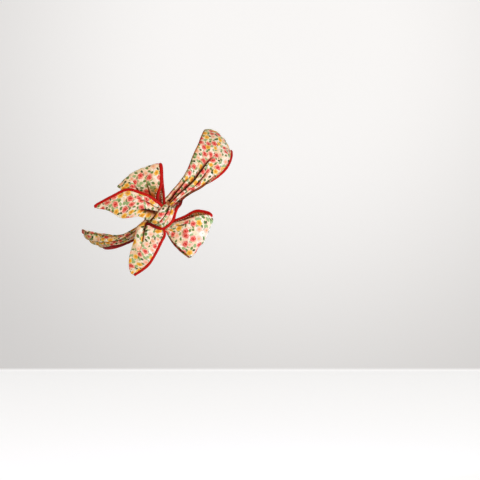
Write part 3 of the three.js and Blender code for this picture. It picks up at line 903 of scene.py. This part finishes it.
def scatter(tree, place, pitch, randomness):
    """For a scatter of points: the way from the nearest one in millimetres, its length, and three randoms."""
    scaled = tree.vector("SCALE", place, Scale=1 / pitch)
    settings = {"voronoi_dimensions": "2D", "feature": "F1"}
    sockets = {"Vector": scaled, "Scale": 1.0, "Randomness": randomness}
    cells = tree.node("ShaderNodeTexVoronoi", settings, sockets)
    offset = tree.vector("SCALE", tree.vector("SUBTRACT", scaled, cells.outputs["Position"]), Scale=pitch)
    x, y, _ = tree.parts(offset)
    split = tree.node("ShaderNodeSeparateColor", None, {0: cells.outputs["Color"]})
    chance = [Value(tree, socket) for socket in split.outputs]
    return x, y, Value(tree, cells.outputs["Distance"]) * pitch, chance


def ground_and_buds(tree, place):
    """The pale ground with a warm wash and small round buds."""
    wash = tree.noise(place, WASH_SCALE, WASH_DETAIL, "2D")
    colour = tree.mix(tree.step(wash, *WASH_STEP), GROUND, GROUND_WARM)
    _, _, reach, chance = scatter(tree, place, BUD_PITCH, BUD_SCATTER)
    bud = tree.mix(chance[2] < GREEN_BUDS_BELOW, BUD_ROSE, BUD_GREEN)
    shown = tree.step(reach, BUD_RADIUS, BUD_CORE * BUD_RADIUS) * (chance[1] < BUDS_BELOW)
    return tree.mix(shown, colour, bud)


def with_leaves(tree, place, colour):
    """The colour with pointed leaves on it, in three greens."""
    x, y, _, chance = scatter(tree, place, LEAF_PITCH, LEAF_SCATTER)
    turn = chance[0] * FULL_TURN
    c, s = tree.maths("COSINE", turn), tree.maths("SINE", turn)
    along, beside = x * c + y * s, y * c - x * s
    grown = LEAST_LEAF + LEAF_SPREAD * chance[2]
    tip = along / (LEAF_LONG * grown)
    leaf = tree.step(abs(beside) / (LEAF_WIDE * grown) + tip * tip, *LEAF_EDGE)
    green = tree.mix(chance[2] < DARK_LEAVES_BELOW, SAGE, BOTTLE)
    green = tree.mix(chance[2] > PALE_LEAVES_ABOVE, green, MINT)
    return tree.mix(leaf * (chance[1] < LEAVES_BELOW), colour, green)


longest_leaf = 2 * LEAF_LONG * (LEAST_LEAF + LEAF_SPREAD)
print(f"leaves: up to {longest_leaf:.1f} mm long, about every {LEAF_PITCH} mm")

# %% Blossoms
BLOSSOM_PITCH, BLOSSOM_SCATTER = 7.2, 0.5
LEAST_BLOSSOM, BLOSSOM_SPREAD = 0.84, 0.26
ROSES_BELOW, YELLOWS_BELOW, PINKS_BELOW = 0.37, 0.72, 0.90
PETALS, PETAL_NOTCH, PETAL_EDGE = 5, 0.20, (1.0, 0.9)
PINK_RADIUS, PINK_HEART, PINK_EYE = 3.0, (0.62, 0.25), (0.22, 0.12)
PINK, PINK_DEEP = paint(250, 206, 182), paint(245, 174, 146)
YELLOW_RADIUS, YELLOW_RIM, YELLOW_HEART = 3.1, (0.55, 0.95), (0.5, 0.15)
YELLOW, AMBER, YELLOW_PALE = paint(244, 180, 52), paint(220, 132, 26), paint(249, 216, 118)
ROSE_RADIUS, ROSE_RIM, ROSE_HEART, ROSE_EDGE = 3.4, (0.4, 0.8), (0.3, 0.16), (1.0, 0.92)
FIVE_LOBES, THREE_LOBES, LOBE_SHIFT = 0.07, 0.05, 1.3
SWIRL_ARMS, SWIRL_WIND, SWIRL_DARK, SWIRL_WITHIN = 2, 11, (0.25, 0.8), (0.95, 0.6)
CORAL, ROSE_DEEP, ROSE_PALE = paint(244, 106, 94), paint(200, 28, 26), paint(250, 180, 162)


def pink_blossom(tree, share):
    """The colour of a pink blossom at a share of its radius."""
    pink = tree.mix(tree.step(share, *PINK_HEART), PINK, PINK_DEEP)
    return tree.mix(tree.step(share, *PINK_EYE), pink, YELLOW)


def yellow_blossom(tree, share):
    """The colour of a yellow blossom at a share of its radius."""
    yellow = tree.mix(tree.step(share, *YELLOW_RIM), YELLOW, YELLOW_PALE)
    return tree.mix(tree.step(share, *YELLOW_HEART), yellow, AMBER)


def rose(tree, share, turn):
    """The colour of a rose at a share of its radius and an angle, with dark swirls between its petals."""
    swirl = tree.maths("SINE", turn * SWIRL_ARMS + share * SWIRL_WIND)
    colour = tree.mix(tree.step(share, *ROSE_RIM), CORAL, ROSE_PALE)
    dark = tree.step(swirl, *SWIRL_DARK) * tree.step(share, *SWIRL_WITHIN)
    colour = tree.mix(dark, colour, ROSE_DEEP)
    return tree.mix(tree.step(share, *ROSE_HEART), colour, ROSE_DEEP)


def with_blossoms(tree, place, colour):
    """The colour with blossoms of three kinds on it."""
    x, y, reach, chance = scatter(tree, place, BLOSSOM_PITCH, BLOSSOM_SCATTER)
    turn = tree.maths("ARCTAN2", y, x) + chance[0] * FULL_TURN
    size, kind = LEAST_BLOSSOM + BLOSSOM_SPREAD * chance[2], chance[1]
    petals = (1 - PETAL_NOTCH) + PETAL_NOTCH * abs(tree.maths("COSINE", turn * (PETALS / 2)))
    share = reach / (size * PINK_RADIUS * petals)
    pinks = tree.step(share, *PETAL_EDGE) * ((kind > YELLOWS_BELOW) * (kind < PINKS_BELOW))
    colour = tree.mix(pinks, colour, pink_blossom(tree, share))
    share = reach / (size * YELLOW_RADIUS * petals)
    yellows = tree.step(share, *PETAL_EDGE) * ((kind > ROSES_BELOW) * (kind < YELLOWS_BELOW))
    colour = tree.mix(yellows, colour, yellow_blossom(tree, share))
    five, three = tree.maths("SINE", turn * 5), tree.maths("SINE", turn * 3 + LOBE_SHIFT)
    share = reach / (size * ROSE_RADIUS * (1 + FIVE_LOBES * five + THREE_LOBES * three))
    roses = tree.step(share, *ROSE_EDGE) * (kind < ROSES_BELOW)
    return tree.mix(roses, colour, rose(tree, share, turn))


print(f"blossoms: {ROSES_BELOW:.0%} roses, about every {BLOSSOM_PITCH} mm")

# %% [markdown]
# ## Printed cotton
# Plain-weave cotton is matt, with a faint soft light at its edges from the fibres, which is the shader's
# sheen. The threads could be modelled, but they are far too fine. So two crossed sine waves on the strip's
# own measures raise them as a bump, and a noise varies how the dye has taken. In the folds a painted shade
# makes the colour deeper and warmer, standing for light that has gone from cloth to cloth there.

# %% Helpers for finishes
# Painted shade: the share of red, green and blue that is left where a fold is deepest
CREASE_SHADE = (0.07, 0.007, 0.0008)


def new_finish(name):
    """A material, a Tree to add to it, and its main shader."""
    material = bpy.data.materials.new(name)
    material.use_nodes = True
    return material, Tree(material.node_tree), material.node_tree.nodes["Principled BSDF"]


def strip_place(tree):
    """The place on the flat strip in millimetres, from the UV map."""
    return tree.vector("SCALE", tree.node("ShaderNodeUVMap", {"uv_map": "UVMap"}).outputs[0], Scale=1 / MM)


def creased(tree, colour):
    """The colour with painted shade, deeper and warmer by the painted shade kept on each point."""
    crease = Value(tree, tree.node("ShaderNodeAttribute", {"attribute_name": "crease"}).outputs["Fac"])
    shades = {k: tree.maths("POWER", shade, crease) for k, shade in enumerate(CREASE_SHADE)}
    return tree.mix(1.0, colour, tree.node("ShaderNodeCombineColor", None, shades).outputs[0], "MULTIPLY")


print("a full crease leaves these shares of red, green and blue:", CREASE_SHADE)

# %% Cotton finish
THREAD_PITCH, THREAD_BUMP, THREAD_HIGH, THREAD_TINT = 0.42, 0.35, 0.05, 0.04
DYE_SCALE, DYE_DETAIL, DYE_STEP, DYE_TINT = 0.9, 4.0, (0.35, 0.7), 0.10
PRINT_TURN = math.radians(24)
FADED, UNBLEACHED = paint(206, 188, 160), (1.0, 0.91, 0.78, 1.0)
COTTON_ROUGH, DYE_ROUGH, COTTON_GLOSS = 0.78, 0.16, 0.1
COTTON_SHEEN, SHEEN_ROUGH = 0.08, 0.5

cotton, tree, shader = new_finish("floral_cotton")
place = strip_place(tree)
across, along, _ = tree.parts(place)
warp = tree.maths("SINE", across * (FULL_TURN / THREAD_PITCH))
weft = tree.maths("SINE", along * (FULL_TURN / THREAD_PITCH))
dye = tree.noise(place, DYE_SCALE, DYE_DETAIL, "2D")
sockets = {"Vector": place, "Angle": PRINT_TURN}
turned = tree.node("ShaderNodeVectorRotate", {"rotation_type": "Z_AXIS"}, sockets).outputs[0]
printed = with_leaves(tree, turned, ground_and_buds(tree, turned))
printed = with_blossoms(tree, turned, printed)
worn = DYE_TINT * tree.step(dye, *DYE_STEP) + THREAD_TINT * warp * weft
printed = tree.mix(1.0, tree.mix(worn, printed, FADED), UNBLEACHED, "MULTIPLY")
sockets = {"Strength": THREAD_BUMP, "Distance": THREAD_HIGH * MM, "Height": warp * weft}
tree.feed(shader, {
    "Base Color": creased(tree, printed),
    "Roughness": COTTON_ROUGH + DYE_ROUGH * dye,
    "Normal": tree.node("ShaderNodeBump", None, sockets).outputs[0],
    "Sheen Weight": COTTON_SHEEN,
    "Sheen Roughness": SHEEN_ROUGH,
    "Specular IOR Level": COTTON_GLOSS,
})
print("cotton:", len(tree.nodes), "nodes")

# %% [markdown]
# ## Red piping
# Piping is a thin cord covered with a strip of plain cloth cut on the bias, which puckers a little round
# every bend. The puckers could be modelled, but they are under a millimetre apart. So the finish draws fine
# rings across the cord as a bump, with painted shade in their valleys, and a slight gloss. Small pale flecks
# in its colour are painted highlights where the thread catches the light.

# %% Piping finish
PIPING_RED, PIPING_DARK, PIPING_LIGHT = paint(190, 14, 3), paint(134, 8, 3), paint(220, 58, 32)
RIB_PITCH, RIB_WANDER, RIB_DARK, RIB_VALLEY_SHADE = 0.8, 16, (-0.4, -1.0), 0.3
RIB_BUMP, RIB_HIGH = 0.2, 0.06
FLECK_SCALE, FLECK_DETAIL, HIGHLIGHT_FLECKS, FLECK_HIGHLIGHT = 900.0, 3.0, (0.6, 0.72), 0.5
PIPING_ROUGH, FLECK_ROUGH, PIPING_GLOSS = 0.55, 0.2, 0.12


def own_place(tree):
    """The place in the piece's own space, in metres."""
    return tree.node("ShaderNodeTexCoord").outputs["Object"]


piping_red, tree, shader = new_finish("red_piping")
along = tree.parts(strip_place(tree))[0]
blur = tree.noise(own_place(tree), FLECK_SCALE, FLECK_DETAIL)
ribs = tree.maths("SINE", along * (FULL_TURN / RIB_PITCH) + blur * RIB_WANDER)
# Painted shade: darker in the valleys of the rings
tone = tree.mix(tree.step(ribs, *RIB_DARK) * RIB_VALLEY_SHADE, PIPING_RED, PIPING_DARK)
# Painted highlights: pale flecks where the thread catches the light
tone = tree.mix(tree.step(blur, *HIGHLIGHT_FLECKS) * FLECK_HIGHLIGHT, tone, PIPING_LIGHT)
sockets = {"Strength": RIB_BUMP, "Distance": RIB_HIGH * MM, "Height": ribs}
tree.feed(shader, {
    "Base Color": creased(tree, tone),
    "Roughness": PIPING_ROUGH + FLECK_ROUGH * blur,
    "Normal": tree.node("ShaderNodeBump", None, sockets).outputs[0],
    "Specular IOR Level": PIPING_GLOSS,
})
print("piping:", len(tree.nodes), "nodes")

# %% [markdown]
# ## Piping along every seam
# The piping follows the piped edge of each stretch. A curve object with a round bevel could draw it, but its
# surface would be too even. So Geometry Nodes make it: a line becomes a curve, the curve gets a round section
# whose surface swells and shrinks a little, and the length along it is kept as the UV map.

# %% Helpers for Geometry Nodes
def new_tree(name, made, **kinds):
    """A Geometry Nodes tree with named inputs, the identifier of each input, and a Tree to add to it."""
    group = bpy.data.node_groups.new(name, "GeometryNodeTree")
    inputs = {}
    for label, kind in kinds.items():
        socket = group.interface.new_socket(label, in_out="INPUT", socket_type="NodeSocket" + kind)
        inputs[label] = socket.identifier
    group.interface.new_socket(made, in_out="OUTPUT", socket_type="NodeSocketGeometry")
    return group, inputs, Tree(group)


def end_tree(tree, geometry, finish):
    """Ends a tree: smooth shading, plain geometry in place of instances, and a finish."""
    smooth = tree.node("GeometryNodeSetShadeSmooth", None, {0: geometry})
    real = tree.node("GeometryNodeRealizeInstances", None, {0: smooth.outputs[0]})
    sockets = {"Geometry": real.outputs[0], "Material": finish}
    tree.node("NodeGroupOutput", None, {0: tree.node("GeometryNodeSetMaterial", None, sockets).outputs[0]})


print("node trees before the piping:", len(bpy.data.node_groups))

# %% Piping tree
CORD_SIDES = 14
LUMP_SCALE, LUMP_DETAIL, LUMP_MIDDLE = 420.0, 1.0, 0.5
piping_tree, piping_inputs, tree = new_tree(
    "Piping along a seam", "Piping",
    Line="Geometry", Radius="Float", Step="Float", Lumps="Float", Finish="Material",
)
given = tree.node("NodeGroupInput").outputs
curve = tree.node("GeometryNodeMeshToCurve", None, {0: given["Line"]})
sockets = {"Curve": curve.outputs[0], "Length": given["Step"]}
even = tree.node("GeometryNodeResampleCurve", {"mode": "LENGTH"}, sockets)
kept = tree.node("GeometryNodeCaptureAttribute", {"domain": "POINT"}, {0: even.outputs[0]})
kept.capture_items.new("FLOAT", "Along")
tree.feed(kept, {"Along": tree.node("GeometryNodeSplineParameter").outputs["Length"]})
sockets = {"Resolution": CORD_SIDES, "Radius": given["Radius"]}
section = tree.node("GeometryNodeCurvePrimitiveCircle", None, sockets)
plump = tree.node("GeometryNodeInputNamedAttribute", {"data_type": "FLOAT"}, {"Name": "plump"}).outputs[0]
sockets = {"Curve": kept.outputs[0], "Profile Curve": section.outputs[0], "Scale": plump, "Fill Caps": True}
tube = tree.node("GeometryNodeCurveToMesh", None, sockets)
swell = (tree.noise(None, LUMP_SCALE, LUMP_DETAIL) - LUMP_MIDDLE) * Value(tree, given["Lumps"])
offset = tree.vector("SCALE", tree.node("GeometryNodeInputNormal").outputs[0], Scale=swell)
lumpy = tree.node("GeometryNodeSetPosition", None, {"Geometry": tube.outputs[0], "Offset": offset})
measure = tree.node("ShaderNodeCombineXYZ", None, {0: kept.outputs["Along"]})
settings = {"data_type": "FLOAT2", "domain": "CORNER"}
sockets = {"Geometry": lumpy.outputs[0], "Name": "UVMap", "Value": measure.outputs[0]}
end_tree(tree, tree.node("GeometryNodeStoreNamedAttribute", settings, sockets).outputs[0], given["Finish"])
print("piping tree:", len(tree.nodes), "nodes")

# %% Helpers for lines
def line_object(name, lines, **measures):
    """An object of lines through points in millimetres, with measures for each point, such as its painted
    shade.
    """
    mesh = bpy.data.meshes.new(name)
    edges, first = [], 0
    for line in lines:
        edges += [(first + i, first + i + 1) for i in range(len(line) - 1)]
        first += len(line)
    mesh.from_pydata((np.vstack(lines) * MM).tolist(), edges, [])
    for label, values in measures.items():
        keep(mesh, label, values)
    made = bpy.data.objects.new(name, mesh)
    bpy.context.scene.collection.objects.link(made)
    return made


def node_made(piece, group, inputs, **values):
    """Runs a Geometry Nodes tree on a piece, with values for its inputs, and keeps the plain mesh."""
    modifier = piece.modifiers.new("nodes", "NODES")
    modifier.node_group = group
    for label, value in values.items():
        modifier[inputs[label]] = value
    evaluated = piece.evaluated_get(bpy.context.evaluated_depsgraph_get())
    piece.data = bpy.data.meshes.new_from_object(evaluated)
    piece.modifiers.clear()
    return piece


print("inputs of the piping tree:", list(piping_inputs))

# %% Lines of the piping
# The piping that shows at the knot is a free arc: places right, front and up from the middle of the knot
ARC = [
    (20, -14, 17), (18.4, -8, 12), (17, -2, 8.6), (14.6, 3, 5.4), (12.6, 5, 0.4), (11.6, 6.5, -4.1),
    (9.9, 7, -7.4), (6.4, 7, -10.9), (2.8, 6, -13.4), (-1.3, 5, -14.2), (-5.3, 4.5, -12.8), (-8.8, 4, -11.3),
    (-12.4, 3.4, -9.6), (-14.2, 2.6, -10.6), (-14.8, 1.8, -13), (-14.8, 1, -16.5), (-15.6, -0.6, -20),
    (-16.6, -3, -24),
]
ARC_POINTS = 120
# Painted shade on the piping: along the knot's arc, along the band, and a share of each stretch's own painted
# shade
ARC_SHADE = [(0, 0.8), (0.12, 0.4), (0.2, 0), (0.5, 0), (0.6, 0.3), (0.7, 0.52), (0.85, 0.62), (1, 0.8)]
ARC_TAPER = [(0, 0.2), (0.1, 1), (0.88, 1), (1, 0.2)]
BAND_PIPING_SHADE = [(-252, 0.45), (-225, 0.32), (-190, 0.25), (-165, 0), (58, 0), (66, 0.4), (94, 0.6)]
SHADE_ON_PIPING = {"loop_upper": 0.2, "loop_right": 0.0, "tail_left": 0.0, "tail_lower": 0.1}
TAIL_HOOK = [(-63.4, 0, 7.4), (-62.6, -0.3, 5.8)]

arc_places = np.linspace(0, 1, ARC_POINTS)
piping_shades = {name: share * creases[name][:, 0] for name, share in SHADE_ON_PIPING.items()}
piping_shades["neck_band"] = between(BAND_PIPING_SHADE, angle)
piping_shades["tail_left"] = np.append(piping_shades["tail_left"], np.zeros(len(TAIL_HOOK)))
piping_shades["knot"] = between(ARC_SHADE, arc_places)
piping_lines["tail_left"] = np.vstack([piping_lines["tail_left"], bow_point(TAIL_HOOK)])
piping_lines["knot"] = track(bow_point(ARC), arc_places)
print("points of the piping:", {name: len(line) for name, line in piping_lines.items()})

# %% Piping on the stretches
PIPING_STEP, PIPING_LUMPS = 0.5, 0.35
piping = {}
for name, line in piping_lines.items():
    taper = between(ARC_TAPER, arc_places) if name == "knot" else np.ones(len(line))
    seam = line_object(name + "_cord", [line], crease=piping_shades[name], plump=taper)
    piping[name] = node_made(
        seam, piping_tree, piping_inputs,
        Radius=PIPING / 2 * MM, Step=PIPING_STEP * MM, Lumps=PIPING_LUMPS * MM, Finish=piping_red,
    )
    print(piping[name].name, len(piping[name].data.polygons), "faces")

# %% [markdown]
# ## Stitches
# The strip is closed by a seam beside its piping. A bump could hint at the stitches, but real ones catch the
# light. Each is a small grain of thread that sinks into the cloth at both ends, and a second tree sets one
# every few millimetres along lines that lie on the cloth, so that no stitch has to be placed by hand.

# %% Stitch tree
GRAIN_SIDES, GRAIN_RINGS, GRAIN_RADIUS = 8, 5, 0.5
stitch_tree, stitch_inputs, tree = new_tree(
    "Stitches along a seam", "Stitches",
    Line="Geometry", Pitch="Float", Long="Float", Thick="Float", Finish="Material",
)
given = tree.node("NodeGroupInput").outputs
curve = tree.node("GeometryNodeMeshToCurve", None, {0: given["Line"]})
sockets = {"Curve": curve.outputs[0], "Length": given["Pitch"]}
spots = tree.node("GeometryNodeCurveToPoints", {"mode": "LENGTH"}, sockets)
turn = tree.node("FunctionNodeAlignRotationToVector", {"axis": "Z"}, {"Vector": spots.outputs["Tangent"]})
sockets = {"Segments": GRAIN_SIDES, "Rings": GRAIN_RINGS, "Radius": GRAIN_RADIUS}
grain = tree.node("GeometryNodeMeshUVSphere", None, sockets)
sockets = {0: given["Thick"], 1: given["Thick"], 2: given["Long"]}
size = tree.node("ShaderNodeCombineXYZ", None, sockets).outputs[0]
sockets = {
    "Points": spots.outputs[0],
    "Instance": grain.outputs[0],
    "Rotation": turn.outputs[0],
    "Scale": size,
}
end_tree(tree, tree.node("GeometryNodeInstanceOnPoints", None, sockets).outputs[0], given["Finish"])
print("stitch tree:", len(tree.nodes), "nodes")

# %% Thread and stitches
THREAD_CREAM, THREAD_SHADOW = paint(248, 238, 214), paint(226, 206, 170)
TWIST_SCALE, TWIST_DETAIL = 2400.0, 2.0
THREAD_ROUGH, TWIST_ROUGH = 0.55, 0.2
STITCH_LONG, STITCH_THICK, STITCH_PITCH = 1.6, 0.3, 2.4
STITCH_FROM_EDGE, STITCH_LEAST_WIDE = 1.5, 5
thread, tree, shader = new_finish("cream_thread")
twist = tree.noise(own_place(tree), TWIST_SCALE, TWIST_DETAIL)
tree.feed(shader, {
    "Base Color": tree.mix(twist, THREAD_CREAM, THREAD_SHADOW),
    "Roughness": THREAD_ROUGH + TWIST_ROUGH * twist,
})


def stitch_lines(grid):
    """Lines on both sides of the cloth at the stitches' distance from its piped edge, short of its points."""
    across, normal, half = cloth_layers(grid)
    sewn = across[:, -1] > STITCH_LEAST_WIDE
    for side in (grid + normal * half, grid - normal * half):
        rows = zip(across[sewn], side[sewn])
        yield np.array([[np.interp(STITCH_FROM_EDGE, a, row[:, k]) for k in range(3)] for a, row in rows])


stitches = node_made(
    line_object("seam_stitches", [line for grid in grids.values() for line in stitch_lines(grid)]),
    stitch_tree, stitch_inputs,
    Pitch=STITCH_PITCH * MM, Long=STITCH_LONG * MM, Thick=STITCH_THICK * MM, Finish=thread,
)
print("stitches:", len(stitches.data.polygons), "faces")

# %% [markdown]
# ## Names for the frame
# The real scarf is one strip, so its stretches need no names. Here each piece is tied to the body that it
# rides on, the solid that it takes the place of, if any, is hidden, and the cloth and the knot's core get the
# cotton finish. That could be read from the names, but here it is done in plain calls. A table also lists how
# long each stretch of cloth is when the strip lies flat, how it is held and, for some, its area, and what
# each hangs from is worked out beside it.

# %% Bodies, solids and slots
def hand_over(piece, node=None):
    """Ties a piece to its body and hides the solid that it takes the place of, if any."""
    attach(piece, "root")
    if node:
        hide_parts(node)


for piece in (*cloth.values(), knot_core):
    piece.data.materials.append(cotton)
for name, piece in cloth.items():
    hand_over(piece, name)
hand_over(stitches)
hand_over(knot_core, "knot")
for name, piece in piping.items():
    hand_over(piece, name + "_piping")
print("handed over:", len(cloth) + len(piping) + 2, "pieces")

# %% Flat sizes
# Each stretch of the flat strip: its length, how it is held, and its area if it is pointed or partly hidden
Sheet = namedtuple("Sheet", "long held area", defaults=(None,))
SHEETS = {
    "neck_band": Sheet(420, "gathered"),
    "loop_upper": Sheet(88, "folded"),
    "loop_right": Sheet(86, "folded"),
    "tail_left": Sheet(63, "hung", 1800),
    "tail_lower": Sheet(60, "hung", 1700),
    "knot": Sheet(46, "gathered", 1100),
}
for name, sheet in SHEETS.items():
    hung_from = ["neck_band_cloth"] if name == "knot" else ["knot_cloth"]
print("flat strip:", sum(sheet.long for sheet in SHEETS.values()), "mm of it in", len(SHEETS), "sheets")

# %% [markdown]
# ## The stage
# The scarf is shown over a plain pale table in front of a pale wall. Strong lamps on them could keep them
# pale, but would also flatten the folds of the cloth. So the stage glows a little by itself: evenly on the
# table, and on the wall as a painted pool of light that is brightest behind and above the scarf. The wall is
# also greyer than the table, as painted shade on an upright face. The stage is hidden from the diffuse rays
# that light the cloth.

# %% Stage
FLOOR_UP, FLOOR_FRONT = -0.27, -3.0
WALL_BACK, WALL_HIGH, STAGE_WIDE = 1.36, 3.0, 4.0
COVE, COVE_STEPS = 0.006, 8

profile = [(FLOOR_FRONT, FLOOR_UP)]
for i in range(COVE_STEPS + 1):
    bend = math.pi / 2 * i / COVE_STEPS
    profile.append((WALL_BACK + COVE * math.sin(bend), FLOOR_UP + COVE * (1 - math.cos(bend))))
profile.append((WALL_BACK + COVE, WALL_HIGH))
points = [(side * STAGE_WIDE / MM, y / MM, z / MM) for y, z in profile for side in (-1, 1)]
faces = [(2 * i, 2 * i + 1, 2 * i + 3, 2 * i + 2) for i in range(len(profile) - 1)]
stage = mesh_object("stage", points, faces)
print("stage:", len(faces), "faces")

# %% Stage finish
# The wall's colour is greyer than the table's: painted shade on an upright face
WALL_TONE_AND_SHADE, TABLE_PAINT = paint(222, 220, 218), paint(240, 239, 238)
TABLE_GLOW = (0.46, 0.46, 0.46, 1.0)
# Painted pool of light: the wall glows most round a spot behind and above the scarf, and less further off
WALL_BRIGHT_GLOW, WALL_DIM_GLOW = (0.475, 0.475, 0.475, 1.0), (0.20, 0.20, 0.20, 1.0)
BRIGHT_RIGHT, BRIGHT_UP = 0.15, 0.29
BRIGHT_WITHIN, DIM_BEYOND = 0.15, 0.77
GRAIN_SCALE, GRAIN_DETAIL = 3.0, 2.0
STAGE_ROUGH, GRAIN_ROUGH = 0.85, 0.1

pale, tree, shader = new_finish("pale_stage")
spot = own_place(tree)
side, _, height = tree.parts(spot)
on_wall = tree.step(height, FLOOR_UP, FLOOR_UP + COVE)
right, up = side - BRIGHT_RIGHT, height - BRIGHT_UP
from_bright = tree.maths("SQRT", right * right + up * up)
wall_glow = tree.mix(tree.step(from_bright, BRIGHT_WITHIN, DIM_BEYOND), WALL_BRIGHT_GLOW, WALL_DIM_GLOW)
tree.feed(shader, {
    "Base Color": tree.mix(on_wall, TABLE_PAINT, WALL_TONE_AND_SHADE),
    "Roughness": STAGE_ROUGH + GRAIN_ROUGH * tree.noise(spot, GRAIN_SCALE, GRAIN_DETAIL),
    "Emission Color": tree.mix(on_wall, TABLE_GLOW, wall_glow),
    "Emission Strength": 1.0,
})
stage.data.materials.append(pale)
stage.visible_diffuse = False
print("stage finish:", len(tree.nodes), "nodes")

# %% [markdown]
# ## The lights
# Folds show best in light from one side. One lamp could do, but its shadows would be black. So the key light
# stands in front at the right, at about the bow's height, a broad light hangs above, and a weak even light
# comes from all round. A weak warm lamp at the left stands for light thrown back by things nearby, and a
# small cool one by the right loop for daylight. The Standard view keeps the reds as bright as in cotton.

# %% Lights
Lamp = namedtuple("Lamp", "name place size power colour")
LAMPS = [
    Lamp("key", (0.95, -2.0, 0.1), 0.5, 27.2, (1.0, 0.97, 0.94)),
    Lamp("top", (0.2, 0.1, 2.2), 2.4, 13, (1.0, 0.99, 0.98)),
    Lamp("bounce", (-0.42, -0.42, -0.12), 0.3, 0.4, (1.0, 0.78, 0.50)),
    Lamp("window", (0.22, -0.22, -0.10), 0.12, 0.55, (0.40, 0.52, 1.0)),
]
EVEN_COLOUR, EVEN_STRENGTH = (1.0, 0.985, 0.97, 1), 0.32

for lamp in LAMPS:
    light = bpy.data.lights.new(lamp.name, "AREA")
    light.energy, light.size, light.color = lamp.power, lamp.size, lamp.colour
    made = bpy.data.objects.new(lamp.name, light)
    made.location = lamp.place
    made.rotation_euler = (-Vector(lamp.place)).to_track_quat("-Z", "Y").to_euler()
    made.visible_camera = False
    bpy.context.scene.collection.objects.link(made)
world = bpy.data.worlds.new("studio")
world.use_nodes = True
background = world.node_tree.nodes["Background"]
background.inputs["Color"].default_value = EVEN_COLOUR
background.inputs["Strength"].default_value = EVEN_STRENGTH
bpy.context.scene.world = world
bpy.context.scene.view_settings.view_transform = "Standard"
print("lamps:", {lamp.name: lamp.power for lamp in LAMPS})
